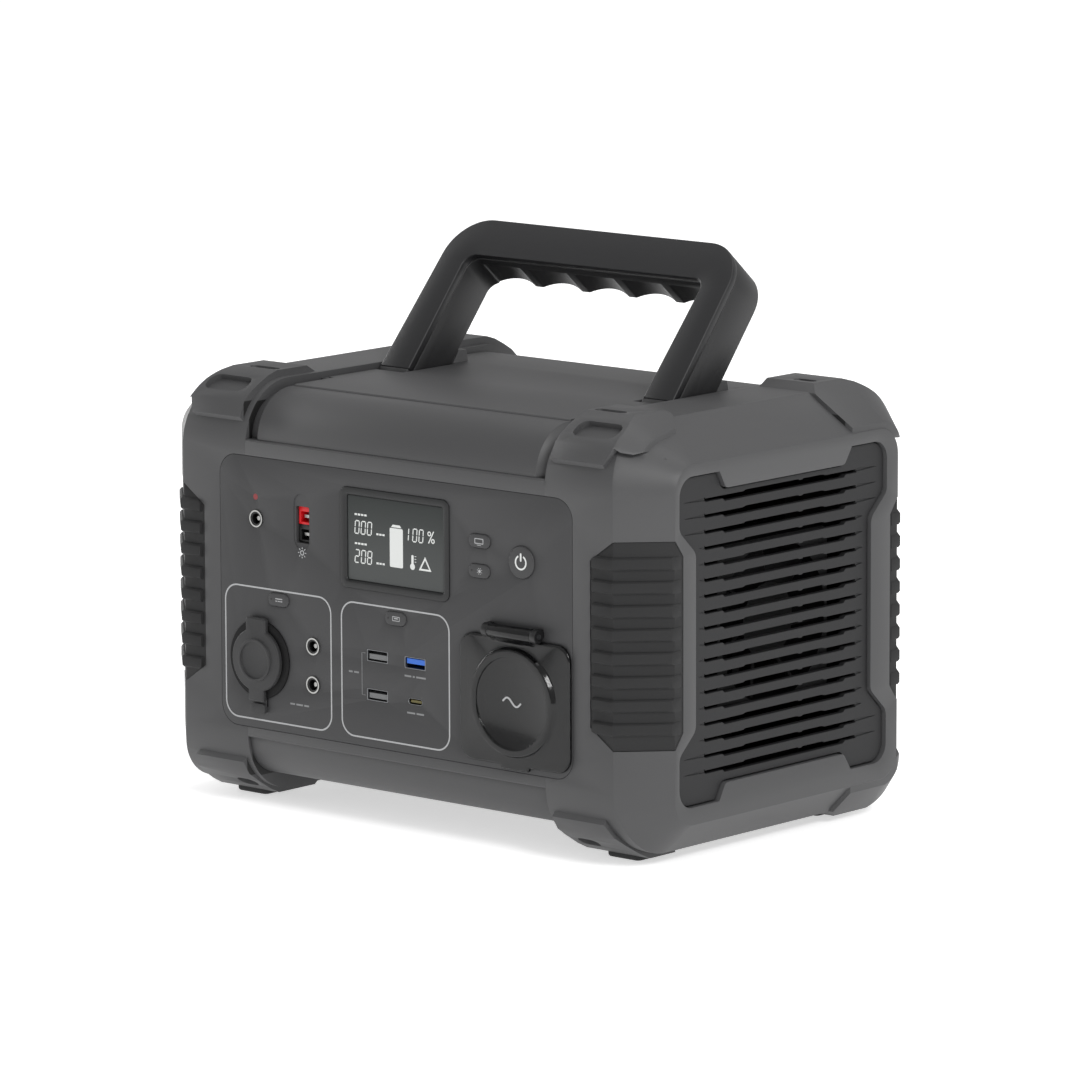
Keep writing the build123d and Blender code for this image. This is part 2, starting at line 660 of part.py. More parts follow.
def case_screws():
    seat_back = DEPTH - 1.5
    head_height = 1.3
    from_base = (Align.CENTER, Align.CENTER, Align.MIN)
    with BuildPart() as screws:
        with Locations(*screw_places(seat_back, -90)):
            Cylinder(3.1, head_height, align=from_base)
        with Locations(*screw_places(seat_back, 90)):
            Cylinder(1.5, 6.0, align=from_base)
        # cross recess
        with Locations(*screw_places(seat_back + head_height, 90)):
            Box(3.6, 0.7, 0.8, align=from_base, mode=Mode.SUBTRACT)
            Box(0.7, 3.6, 0.8, align=from_base, mode=Mode.SUBTRACT)
    return screws.part


# ---------------------------------------------------------------- control panel
# places on the panel (x, up)
JACKS = [(-86.6, 35.6), (-50.7, -21.5), (-50.9, -39.9)]
LED = (-87.1, 46.0)
DISPLAY = (1.3, 33.2)
PV_SOCKET = (-57.35, 35.6)
USB_A_PORTS = [(-10.1, -21.4), (-10.2, -39.9)]
USB_FAST_PORT = (13.5, -21.9)
USB_C_PORT = (13.6, -40.0)
POWER_BUTTON = (79.7, 33.1)
PILL_BUTTONS = {"display_button": (54.1, 40.2), "light_button": (53.8, 26.2),
                "dc_button": (-72.6, -1.8), "usb_button": (1.8, -2.1)}
CAR_SOCKET = (-84.9, -31.6)
AC_SOCKET = (AC_X, -32.3)

DISPLAY_WIDTH, DISPLAY_HEIGHT = 68.0, 47.6
PILL_WIDTH, PILL_HEIGHT = 13.0, 6.5
POWER_RADIUS = 7.65
BUTTON_GAP = 0.15
AC_FACE_UP = -31.2         # middle of the AC module's front face
KNUCKLE_OFFSET = 14.8      # AC hinge knuckle mounts either side of the middle


def control_panel():
    with BuildPart() as panel:
        with BuildSketch(front_plane(0)):
            RectangleRounded(PANEL_WIDTH, PANEL_HEIGHT, PANEL_RADIUS)
            with Locations(*JACKS):
                Circle(4.2, mode=Mode.SUBTRACT)
            with Locations(LED):
                Circle(1.5, mode=Mode.SUBTRACT)
            with Locations(DISPLAY):
                RectangleRounded(DISPLAY_WIDTH + 0.2, DISPLAY_HEIGHT + 0.2, 4.1,
                                 mode=Mode.SUBTRACT)
            with Locations(PV_SOCKET):
                RectangleRounded(8.3, 17.4, 0.6, mode=Mode.SUBTRACT)
            with Locations(*USB_A_PORTS, USB_FAST_PORT):
                RectangleRounded(13.3, 5.9, 0.5, mode=Mode.SUBTRACT)
            with Locations(USB_C_PORT):
                SlotOverall(9.2, 3.4, mode=Mode.SUBTRACT)
            with Locations(*PILL_BUTTONS.values()):
                SlotOverall(PILL_WIDTH + 2 * BUTTON_GAP, PILL_HEIGHT + 2 * BUTTON_GAP,
                            mode=Mode.SUBTRACT)
            with Locations(POWER_BUTTON):
                Circle(POWER_RADIUS + BUTTON_GAP, mode=Mode.SUBTRACT)
            with Locations(CAR_SOCKET):
                Circle(14.1, mode=Mode.SUBTRACT)
            with Locations((AC_X, AC_FACE_UP)):
                Rectangle(60.8, 54.8, mode=Mode.SUBTRACT)
            with Locations(*[(AC_X + side * KNUCKLE_OFFSET, -0.9) for side in (1, -1)]):
                Rectangle(3.6, 7.0, mode=Mode.SUBTRACT)
        extrude(amount=-WALL)
        # shallow upright recess round the pair of DC housings
        with BuildSketch(front_plane(0)):
            with Locations((PV_SOCKET[0], 37.0)):
                SlotOverall(27.0, 10.6, rotation=90)
        extrude(amount=-0.5, mode=Mode.SUBTRACT)
    return panel.part


# ---------------------------------------------------------------- display
def display_bezel():
    frame = 3.8            # width of the bezel's border
    with BuildPart() as bezel:
        with BuildSketch(front_plane(-0.5)):
            with Locations(DISPLAY):
                RectangleRounded(DISPLAY_WIDTH, DISPLAY_HEIGHT, 4)
                RectangleRounded(DISPLAY_WIDTH - 2 * frame, DISPLAY_HEIGHT - 2 * frame, 1.2,
                                 mode=Mode.SUBTRACT)
        extrude(amount=-4.5)
        chamfer(bezel.faces().sort_by(Axis.Y)[0].inner_wires()[0].edges(), length=0.9)
    return bezel.part


def display_window():
    with BuildPart() as window:
        with BuildSketch(front_plane(0.6)):
            with Locations(DISPLAY):
                RectangleRounded(DISPLAY_WIDTH - 7.8, DISPLAY_HEIGHT - 7.8, 1.1)
        extrude(amount=-1.2)
    return window.part


def display_module():
    with BuildPart() as module:
        with BuildSketch(front_plane(1.8)):
            with Locations(DISPLAY):
                RectangleRounded(DISPLAY_WIDTH - 7.9, DISPLAY_HEIGHT - 7.9, 1.3)
        extrude(amount=-2.2)
        with BuildSketch(front_plane(4.0)):
            with Locations(DISPLAY):
                Rectangle(DISPLAY_WIDTH - 3, DISPLAY_HEIGHT - 3)
        extrude(amount=-3.0)
    return module.part


# ---------------------------------------------------------------- USB ports
USB_LENGTH = 14.0          # open length of a shell
TONGUE_START = 0.7         # tongues begin this far back and end with the open length
TONGUE_WIDTH, TONGUE_HEIGHT = 11.2, 2.4


def usb_shells():
    with BuildPart() as shells:
        with BuildSketch(front_plane(0)):
            with Locations(*USB_A_PORTS, USB_FAST_PORT):
                RectangleRounded(13.1, 5.7, 0.5)
                RectangleRounded(12.3, 4.9, 0.3, mode=Mode.SUBTRACT)
            with Locations(USB_C_PORT):
                SlotOverall(9.0, 3.2)
                SlotOverall(8.4, 2.6, mode=Mode.SUBTRACT)
        extrude(amount=-USB_LENGTH)
        # closed rear ends
        with BuildSketch(front_plane(USB_LENGTH)):
            with Locations(*USB_A_PORTS, USB_FAST_PORT):
                RectangleRounded(13.1, 5.7, 0.5)
            with Locations(USB_C_PORT):
                SlotOverall(9.0, 3.2)
        extrude(amount=-1.0)
    return shells.part


def usb_tongues():
    with BuildPart() as tongues:
        with BuildSketch(front_plane(TONGUE_START)):
            with Locations(*[(x, up - 0.5) for x, up in USB_A_PORTS]):
                Rectangle(TONGUE_WIDTH, TONGUE_HEIGHT)
            with Locations(USB_C_PORT):
                Rectangle(6.6, 1.2)
        extrude(amount=-(USB_LENGTH - TONGUE_START))
    return tongues.part


def usb_fast_tongue():
    with BuildPart() as tongue:
        with BuildSketch(front_plane(TONGUE_START)):
            with Locations((USB_FAST_PORT[0], USB_FAST_PORT[1] + 0.7)):
                Rectangle(TONGUE_WIDTH, TONGUE_HEIGHT)
        extrude(amount=-(USB_LENGTH - TONGUE_START))
    return tongue.part


# ---------------------------------------------------------------- DC inputs and outputs
JACK_DEPTH = 11.4          # rear end of the round jacks' rings and pins
PV_RISE = 4.25             # each housing above or below the pair's middle
PV_BORE_DROP = 0.6         # the bore sits this far below its housing's middle


def dc_jack_contacts():
    """outer rings and centre pins of the round jacks"""
    with BuildPart() as contacts:
        with BuildSketch(front_plane(-0.6)):
            with Locations(*JACKS):
                Circle(4.1)
                Circle(3.4, mode=Mode.SUBTRACT)
        extrude(amount=-(JACK_DEPTH + 0.6))
        with BuildSketch(front_plane(1.5)):
            with Locations(*JACKS):
                Circle(1.05)
        extrude(amount=-(JACK_DEPTH - 1.5))
    return contacts.part


def dc_jack_bodies():
    """insulating sleeves and the blocks behind them"""
    with BuildPart() as bodies:
        with BuildSketch(front_plane(-0.2)):
            with Locations(*JACKS):
                Circle(3.38)
                Circle(2.6, mode=Mode.SUBTRACT)
        extrude(amount=-(JACK_DEPTH + 0.2))
        with BuildSketch(front_plane(JACK_DEPTH)):
            with Locations(*JACKS):
                Rectangle(9.0, 9.0)
        extrude(amount=-3.6)
    return bodies.part


def input_led():
    with BuildPart() as led:
        with BuildSketch(front_plane(0)):
            with Locations(LED):
                Circle(1.45)
        extrude(amount=-4.0)
    return led.part


def pv_housing(rise, face_back):
    """one of the stacked pair of DC power housings"""
    x, up = PV_SOCKET
    with BuildPart() as housing:
        with BuildSketch(front_plane(face_back)):
            with Locations((x, up + rise)):
                Rectangle(7.9, 8.4)
        extrude(amount=-20.0)
        with BuildSketch(front_plane(2.0)):
            with Locations((x, up + rise - PV_BORE_DROP)):
                RectangleRounded(5.6, 5.0, 0.4)
        extrude(amount=-12.0, mode=Mode.SUBTRACT)
    return housing.part


def pv_contacts():
    x, up = PV_SOCKET
    with BuildPart() as contacts:
        with BuildSketch(front_plane(4.0)):
            with Locations((x, up + PV_RISE - PV_BORE_DROP), (x, up - PV_RISE - PV_BORE_DROP)):
                Rectangle(4.0, 1.4)
        extrude(amount=-8.0)
    return contacts.part


# ---------------------------------------------------------------- 12 V round socket
BARREL_RADIUS = 12.0
STRAP_WIDTH = 9.6


def car_socket_bezel():
    x, up = CAR_SOCKET
    with BuildPart() as bezel:
        with BuildSketch(front_plane(-1.2)):
            with Locations(CAR_SOCKET):
                Circle(19.0)
                Circle(BARREL_RADIUS, mode=Mode.SUBTRACT)
        extrude(amount=-1.2)
        with BuildSketch(front_plane(0)):
            with Locations(CAR_SOCKET):
                Circle(14.0)
                Circle(BARREL_RADIUS, mode=Mode.SUBTRACT)
        extrude(amount=-30.0)
        rim = bezel.edges().filter_by(GeomType.CIRCLE).filter_by(
            lambda e: e.center().Y < y_at(-1.1) and e.radius > 18)
        chamfer(rim, length=0.6)
        # foot that holds the dust cap's strap, joined to the ring by a thin web
        with BuildSketch(front_plane(-2.4)):
            with Locations((x, up - 23.5)):
                RectangleRounded(STRAP_WIDTH, 4.8, 2.0)
        extrude(amount=-2.4)
        with BuildSketch(front_plane(-0.9)):
            with Locations((x, up - 20.2)):
                Rectangle(STRAP_WIDTH, 4.6)
        extrude(amount=-0.9)
    return bezel.part


def car_socket_barrel():
    # stations: start back, length, bore radius (0 for the closed end)
    stations = [(2.5, 40.0, 10.5), (42.5, 2.5, 9.6), (45.0, 1.5, 0)]
    with BuildPart() as barrel:
        for start, length, bore_radius in stations:
            with BuildSketch(front_plane(start)):
                with Locations(CAR_SOCKET):
                    Circle(BARREL_RADIUS)
                    if bore_radius:
                        Circle(bore_radius, mode=Mode.SUBTRACT)
            extrude(amount=-length)
    return barrel.part


def car_socket_contact():
    with BuildPart() as contact:
        with BuildSketch(front_plane(42.8)):
            with Locations(CAR_SOCKET):
                Circle(3.5)
        extrude(amount=-2.2)
    return contact.part


def car_socket_cap():
    """rubber dust cap: disc with a pull tab on top and a hinge tongue below"""
    x, up = CAR_SOCKET
    disc_front = -3.7
    with BuildPart() as cap:
        with BuildSketch(front_plane(disc_front)):
            with Locations(CAR_SOCKET):
                Circle(15.2)
            with Locations((x, up + 16.0)):
                RectangleRounded(12.6, 8.4, 1.6)
            with Locations((x, up - 15.2)):
                Rectangle(STRAP_WIDTH, 9.4)
        extrude(amount=-2.4)
        chamfer(cap.faces().sort_by(Axis.Y)[0].edges(), length=0.6)
        chamfer(cap.faces().sort_by(Axis.Z)[0].edges().sort_by(Axis.Y)[-1], length=0.6)
        # raised ring on the front
        with BuildSketch(front_plane(disc_front - 1.0)):
            with Locations(CAR_SOCKET):
                Circle(10.2)
                Circle(8.9, mode=Mode.SUBTRACT)
        extrude(amount=-1.0)
        # plug ring on the rear
        with BuildSketch(front_plane(-1.4)):
            with Locations(CAR_SOCKET):
                Circle(11.5)
                Circle(9.9, mode=Mode.SUBTRACT)
        extrude(amount=-3.6)
    return cap.part


# ---------------------------------------------------------------- AC socket module
HINGE_BACK, HINGE_UP = -3.4, 0.4
HINGE_AXIS = (y_at(HINGE_BACK), z_at(HINGE_UP))
HINGE_X0, HINGE_X1 = AC_X - 16.4, AC_X + 16.4
KNUCKLE_RADIUS, KNUCKLE_LENGTH = 3.2, 3.2
PIN_RADIUS = 1.2
BORE_DEPTH = 17.5          # round recess the plug enters
AC_HOLES = [(AC_X - 9.5, AC_SOCKET[1]), (AC_X + 9.5, AC_SOCKET[1])]


def ac_socket_housing():
    with BuildPart() as housing:
        with BuildSketch(front_plane(WALL)):
            with Locations((AC_X, AC_BODY_UP)):
                Rectangle(60.4, 61.8)
        extrude(amount=-29.0)
        with BuildSketch(front_plane(0)):
            with Locations((AC_X, AC_FACE_UP)):
                Rectangle(60.4, 54.4)
            with Locations(*[(AC_X + side * KNUCKLE_OFFSET, -1.0) for side in (1, -1)]):
                Rectangle(3.2, 6.8)
        extrude(amount=-WALL)
        with BuildSketch(front_plane(0)):
            with Locations(AC_SOCKET):
                Circle(19.5)
        extrude(amount=-BORE_DEPTH, mode=Mode.SUBTRACT)
        with BuildSketch(front_plane(BORE_DEPTH)):
            with Locations(*AC_HOLES):
                Circle(2.7)
        extrude(amount=-12.5, mode=Mode.SUBTRACT)
        # hinge knuckles at both ends of the cover's barrel
        for x in (HINGE_X0, HINGE_X1 - KNUCKLE_LENGTH):
            with BuildSketch(side_plane(x)):
                with Locations(HINGE_AXIS):
                    Circle(KNUCKLE_RADIUS)
                with Locations((y_at(HINGE_BACK / 2), z_at(HINGE_UP + 1.2))):
                    Rectangle(-HINGE_BACK, 4.0)
            extrude(amount=KNUCKLE_LENGTH)
        with BuildSketch(side_plane(HINGE_X0 - 1)):
            with Locations(HINGE_AXIS):
                Circle(PIN_RADIUS)
        extrude(amount=HINGE_X1 - HINGE_X0 + 2, mode=Mode.SUBTRACT)
    return housing.part


def ac_contacts():
    x, up = AC_SOCKET
    with BuildPart() as contacts:
        # sleeves in the two round holes
        with BuildSketch(front_plane(20.5)):
            with Locations(*AC_HOLES):
                Circle(2.65)
                Circle(2.4, mode=Mode.SUBTRACT)
        extrude(amount=-9.0)
        # strips at the top and bottom of the bore
        with BuildSketch(front_plane(4.0)):
            with Locations((x, up + 18.8), (x, up - 18.8)):
                Rectangle(4.0, 1.2)
        extrude(amount=-(BORE_DEPTH - 4.0))
    return contacts.part


def ac_cover():
    x, up = AC_SOCKET
    height = 59.6
    flap_front, flap_back = -2.1, -0.1
    boss_height = 2.3
    # web between the flap and the hinge barrel (back, up)
    web = [(flap_front, -5.0), (-4.9, -2.0), (HINGE_BACK, HINGE_UP), (-0.9, -1.2),
           (flap_back, -2.9), (flap_back, -5.0)]
    with BuildPart() as cover:
        # flap with a pull tab at the bottom
        with BuildSketch(front_plane(flap_front)):
            with Locations(AC_SOCKET):
                RectangleRounded(67.0, height, 8)
            with Locations((x, up - height / 2 + 1.0)):
                RectangleRounded(17, 6.0, 1.2)
        extrude(amount=flap_front - flap_back)
        chamfer(cover.faces().sort_by(Axis.Y)[0].outer_wire().edges(), length=0.7)
        # round raised boss, dished in the middle and hollow behind
        with BuildSketch(front_plane(flap_front)):
            with Locations(AC_SOCKET):
                Circle(25.9)
        extrude(amount=boss_height, taper=28)
        with BuildSketch(front_plane(flap_front - boss_height)):
            with Locations(AC_SOCKET):
                Circle(21.4)
        extrude(amount=-1.0, mode=Mode.SUBTRACT)
        with BuildSketch(front_plane(flap_back)):
            with Locations(AC_SOCKET):
                Circle(23.0)
        extrude(amount=2.4, mode=Mode.SUBTRACT)
        # hinge barrel and its web
        with BuildSketch(side_plane(HINGE_X0 + KNUCKLE_LENGTH + 0.2)):
            with Locations(HINGE_AXIS):
                Circle(KNUCKLE_RADIUS)
            with BuildLine():
                Polyline(*yz(web), close=True)
            make_face()
        extrude(amount=HINGE_X1 - HINGE_X0 - 2 * (KNUCKLE_LENGTH + 0.2))
        with BuildSketch(side_plane(HINGE_X0 - 1)):
            with Locations(HINGE_AXIS):
                Circle(PIN_RADIUS + 0.05)
        extrude(amount=HINGE_X1 - HINGE_X0 + 2, mode=Mode.SUBTRACT)
    return cover.part


def ac_hinge_pin():
    with BuildPart() as pin:
        with BuildSketch(side_plane(HINGE_X0 - 0.5)):
            with Locations(HINGE_AXIS):
                Circle(PIN_RADIUS)
        extrude(amount=HINGE_X1 - HINGE_X0 + 1.0)
    return pin.part


# ---------------------------------------------------------------- push buttons
FLANGE_BACK, FLANGE_THICKNESS = 3.2, 1.2
STEM_LENGTH = 5.6


def draw_power_face(margin):
    Circle(POWER_RADIUS + margin)


def draw_pill_face(margin):
    SlotOverall(PILL_WIDTH + 2 * margin, PILL_HEIGHT + 2 * margin)


def push_button(place, draw_face, proud, bevel, flange_margin, stem_radius):
    """a button standing proud of the panel, held behind it by a flange, with a stem"""
    with BuildPart() as button:
        with BuildSketch(front_plane(-proud)):
            with Locations(place):
                draw_face(0)
        extrude(amount=-(proud + FLANGE_BACK + 0.1))
        chamfer(button.faces().sort_by(Axis.Y)[0].edges(), length=bevel)
        with BuildSketch(front_plane(FLANGE_BACK)):
            with Locations(place):
                draw_face(flange_margin)
        extrude(amount=-FLANGE_THICKNESS)
        with BuildSketch(front_plane(FLANGE_BACK + FLANGE_THICKNESS)):
            with Locations(place):
                Circle(stem_radius)
        extrude(amount=-STEM_LENGTH)
    return button.part


# ---------------------------------------------------------------- control board
BOARD_BACK, BOARD_THICKNESS = 15.0, 1.6


def tact_switches():
    with BuildPart() as switches:
        with BuildSketch(front_plane(11.5)):
            with Locations(POWER_BUTTON, *PILL_BUTTONS.values()):
                Rectangle(6, 6)
        extrude(amount=-(BOARD_BACK - 11.5))
    return switches.part


def control_board():
    with BuildPart() as board:
        with BuildSketch(front_plane(BOARD_BACK)):
            with Locations((0, 38.5)):
                Rectangle(190, 53)
            with Locations((-13, -26.5)):
                Rectangle(110, 77)
            with Locations(PV_SOCKET):
                Rectangle(8.6, 17.6, mode=Mode.SUBTRACT)
        extrude(amount=-BOARD_THICKNESS)
    return board.part


# ---------------------------------------------------------------- handle
LEAN = math.radians(40.6)  # from the vertical, towards the rear
PIVOT_UP = 88.7            # the pivot is at mid-depth
PIVOT_AXIS = (y_at(MID_BACK), z_at(PIVOT_UP))
PIVOT_RADIUS = 3.0
HANDLE_THICKNESS = 24.6
HANDLE_HALF = HANDLE_THICKNESS / 2
COVER_THICKNESS = 4.0      # front cover of the handle
# in the handle's own plane: x, and distance along the legs from the pivot
BAR_TOP, BAR_UNDERSIDE = 89.4, 69.1
OUTER_X_BASE, OUTER_X_TOP = 91.6, 89.2
INNER_X_BASE, INNER_X_TOP = 73.5, 74.4
LEG_END = -20
FINGER_RADIUS, FINGER_DEPTH, FINGER_PITCH = 24.0, 3.4, 29.4
HANDLE_PLANE = Plane(origin=(0, *PIVOT_AXIS), x_dir=(1, 0, 0),
                     z_dir=(0, -math.cos(LEAN), math.sin(LEAN)))


def handle_outline():
    """inverted-U outline of the handle in its own plane"""
    with BuildSketch(mode=Mode.PRIVATE) as outline:
        with BuildLine():
            Polyline(
                (-OUTER_X_BASE, LEG_END), (-OUTER_X_BASE, 0), (-OUTER_X_TOP, BAR_TOP),
                (OUTER_X_TOP, BAR_TOP), (OUTER_X_BASE, 0), (OUTER_X_BASE, LEG_END),
                (INNER_X_BASE, LEG_END), (INNER_X_BASE, 0), (INNER_X_TOP, BAR_UNDERSIDE),
                (-INNER_X_TOP, BAR_UNDERSIDE), (-INNER_X_BASE, 0),
                (-INNER_X_BASE, LEG_END), close=True)
        make_face()
        fillet(outline.vertices().filter_by(lambda v: v.Y > BAR_TOP - 0.1), radius=22)
        fillet(outline.vertices().filter_by(lambda v: abs(v.Y - BAR_UNDERSIDE) < 0.1),
               radius=6.5)
    return outline.sketch


def handle_blank():
    """whole handle with round leg ends and pivot holes, before it is split"""
    leg_side = Plane(origin=(-100, *PIVOT_AXIS), x_dir=(0, math.cos(LEAN), -math.sin(LEAN)),
                     z_dir=(1, 0, 0))
    with BuildPart() as blank:
        with BuildSketch(HANDLE_PLANE):
            add(handle_outline())
        extrude(amount=HANDLE_HALF, both=True)
        with BuildSketch(leg_side):
            Circle(HANDLE_HALF)
            with Locations((0, 50)):
                Rectangle(HANDLE_THICKNESS, 100)
        extrude(amount=200, mode=Mode.INTERSECT)
        with BuildSketch(Plane.YZ.offset(-100)):
            with Locations(PIVOT_AXIS):
                Circle(PIVOT_RADIUS + 0.06)
        extrude(amount=200, mode=Mode.SUBTRACT)
    return blank.part


def handle_piece(blank, split_mode):
    """blank cut by, or kept within, the front cover's slab"""
    with BuildPart() as piece:
        add(blank)
        with BuildSketch(HANDLE_PLANE.offset(HANDLE_HALF - COVER_THICKNESS)):
            with Locations((0, 51.5)):
                Rectangle(200, 100)
        extrude(amount=10, mode=split_mode)
    return piece.part


def handle_frame(blank):
    body = handle_piece(blank, Mode.SUBTRACT)
    with BuildPart() as frame:
        add(body)
        # finger grooves under the bar
        with BuildSketch(HANDLE_PLANE.offset(3.0)):
            with Locations(*[(i * FINGER_PITCH, BAR_UNDERSIDE - FINGER_RADIUS + FINGER_DEPTH)
                             for i in range(-2, 3)]):
                Circle(FINGER_RADIUS)
            with Locations((0, BAR_UNDERSIDE - 30)):
                Rectangle(140, 60 + 2 * FINGER_DEPTH, mode=Mode.INTERSECT)
        extrude(amount=-30, mode=Mode.SUBTRACT)
    return frame.part


def handle_brackets():
    # U-shaped section of the right bracket (x, up)
    section = [(69.1, 71.5), (95.9, 71.5), (95.9, 93.0), (92.9, 93.0), (92.9, 74.5),
               (72.1, 74.5), (72.1, 93.0), (69.1, 93.0)]
    with BuildPart() as brackets:
        for side in (1, -1):
            with BuildSketch(Plane(origin=(0, y_at(93), 0), x_dir=(1, 0, 0),
                                   z_dir=(0, -1, 0))):
                with BuildLine():
                    Polyline(*[(side * x, z_at(up)) for x, up in section], close=True)
                make_face()
            extrude(amount=-17)
        with BuildSketch(Plane.YZ.offset(-100)):
            with Locations(PIVOT_AXIS):
                Circle(PIVOT_RADIUS)
        extrude(amount=200, mode=Mode.SUBTRACT)
    return brackets.part


def handle_pivot_pins():
    inner_x, outer_x = 68.6, 96.4
    with BuildPart() as pins:
        for x in (inner_x, -outer_x):
            with BuildSketch(side_plane(x)):
                with Locations(PIVOT_AXIS):
                    Circle(PIVOT_RADIUS)
            extrude(amount=outer_x - inner_x)
    return pins.part


# ---------------------------------------------------------------- battery pack
CELL_RADIUS, CELL_LENGTH, CELL_PITCH = 10.6, 70.0, 22.4
CELL_COLUMNS, CELL_ROWS = 7, 4
CELL_BOTTOM = -83.0
CELL_TOP = CELL_BOTTOM + CELL_LENGTH


def battery_cells():
    with BuildPart() as cells:
        with BuildSketch(flat_plane(CELL_BOTTOM)):
            with Locations((0, MID_BACK)):
                with GridLocations(CELL_PITCH, CELL_PITCH, CELL_COLUMNS, CELL_ROWS):
                    Circle(CELL_RADIUS)
        extrude(amount=CELL_LENGTH)
    return cells.part


def cell_holders():
    with BuildPart() as holders:
        # lower and upper holder: bottom, thickness
        for bottom, thickness in ((TRAY_BOTTOM + WALL, 9), (-19.0, 5)):
            with BuildSketch(flat_plane(bottom)):
                with Locations((0, MID_BACK)):
                    RectangleRounded(CELL_COLUMNS * CELL_PITCH + 4,
                                     CELL_ROWS * CELL_PITCH + 4, 4)
            extrude(amount=thickness)
        with BuildSketch(flat_plane(CELL_BOTTOM - 0.4)):
            with Locations((0, MID_BACK)):
                with GridLocations(CELL_PITCH, CELL_PITCH, CELL_COLUMNS, CELL_ROWS):
                    Circle(CELL_RADIUS + 0.05)
        extrude(amount=80, mode=Mode.SUBTRACT)
    return holders.part


def bus_strips():
    with BuildPart() as strips:
        with BuildSketch(flat_plane(CELL_TOP)):
            with Locations((0, MID_BACK)):
                with GridLocations(CELL_PITCH, CELL_PITCH, CELL_COLUMNS, 1):
                    Rectangle(8, (CELL_ROWS - 1) * CELL_PITCH + 10)
        extrude(amount=0.4)
    return strips.part


def battery_management_board():
    with BuildPart() as board:
        with BuildSketch(front_plane(50.0)):
            with Locations((0, -50)):
                Rectangle(120, 46)
        extrude(amount=-BOARD_THICKNESS)
        # row of components on its rear face
        with BuildSketch(front_plane(50.0 + BOARD_THICKNESS)):
            with Locations((0, -50)):
                with GridLocations(18, 0, 6, 1):
                    Rectangle(10, 12)
        extrude(amount=-3.0)
    return board.part


# ---------------------------------------------------------------- inverter
INVERTER_BOARD_UP = 2.0
COMPONENT_UP = INVERTER_BOARD_UP + BOARD_THICKNESS


def inverter_chassis():
    # bridge of sheet over the battery (x, up)
    section = [(-84, -87), (-84, -6), (84, -6), (84, -87), (82.5, -87), (82.5, -7.5),
               (-82.5, -7.5), (-82.5, -87)]
    with BuildPart() as chassis:
        with BuildSketch(front_plane(56.0)):
            with BuildLine():
                Polyline(*section, close=True)
            make_face()
        extrude(amount=-90)
        # stand-offs for the inverter board
        with BuildSketch(flat_plane(-6.0)):
            with Locations((0, MID_BACK)):
                with GridLocations(150, 78, 2, 2):
                    Circle(3)
        extrude(amount=INVERTER_BOARD_UP + 6.0)
    return chassis.part


def inverter_board():
    with BuildPart() as board:
        with BuildSketch(flat_plane(INVERTER_BOARD_UP)):
            with Locations((0, MID_BACK)):
                Rectangle(210, 116)
        extrude(amount=BOARD_THICKNESS)
    return board.part


def inverter_heatsinks():
    with BuildPart() as heatsinks:
        for x in (-88, 88):
            with BuildSketch(front_plane(52.0)):
                with Locations((x, 5.1)):
                    Rectangle(30, 3)
                with Locations((x, 20)):
                    with GridLocations(6.8, 0, 5, 1):
                        Rectangle(1.6, 32)
            extrude(amount=-98)
    return heatsinks.part


def inverter_components():
    with BuildPart() as components:
        with BuildSketch(flat_plane(COMPONENT_UP)):
            with Locations((-36, 92), (36, 92)):
                RectangleRounded(42, 34, 4)
        extrude(amount=30)
        with BuildSketch(flat_plane(COMPONENT_UP)):
            with Locations((-45, 138), (-15, 138), (15, 138), (45, 138)):
                Circle(11)
        extrude(amount=36)
    return components.part


def battery_leads():
    # route up from the battery management board to the inverter board (back, up)
    route = [(50.8, -26.9), (50.0, -18), (45.0, -8), (39.6, 0.5), (41.0, 8.5),
             (46.0, 11.4), (50.8, 9.0), (51.6, 4.4)]
    with BuildPart() as leads:
        for x in (40.0, 31.0):
            with BuildLine() as path:
                Spline(*[(x, y, z) for y, z in yz(route)])
            with BuildSketch(Plane(origin=path.line @ 0, z_dir=path.line % 0)):
                Circle(1.5)
            sweep()
    return leads.part


# ---------------------------------------------------------------- fans
FAN_X = 122.0              # inner face of the right fan
FAN_THICKNESS = 25.0
FAN_AXIS = (y_at(98.6), MID_Z)
BLADE_COUNT = 7


def fan_frames():
    # motor mount on the inner face: start, length, radius
    mount_stages = [(3, 4, 12.0), (7, 4.5, 1.5)]
    with BuildPart() as frames:
        with BuildSketch(side_plane(FAN_X)):
            with Locations(FAN_AXIS):
                RectangleRounded(80, 80, 4)
                Circle(38.2, mode=Mode.SUBTRACT)
        extrude(amount=FAN_THICKNESS)
        # four struts meeting at a disc
        with BuildSketch(side_plane(FAN_X)):
            with Locations(FAN_AXIS):
                Circle(15.0)
                Rectangle(78, 5)
                Rectangle(5, 78)
        extrude(amount=3)
        for start, length, radius in mount_stages:
            with BuildSketch(side_plane(FAN_X + start)):
                with Locations(FAN_AXIS):
                    Circle(radius)
            extrude(amount=length)
        mirror(frames.part, about=Plane.YZ)
    return frames.part


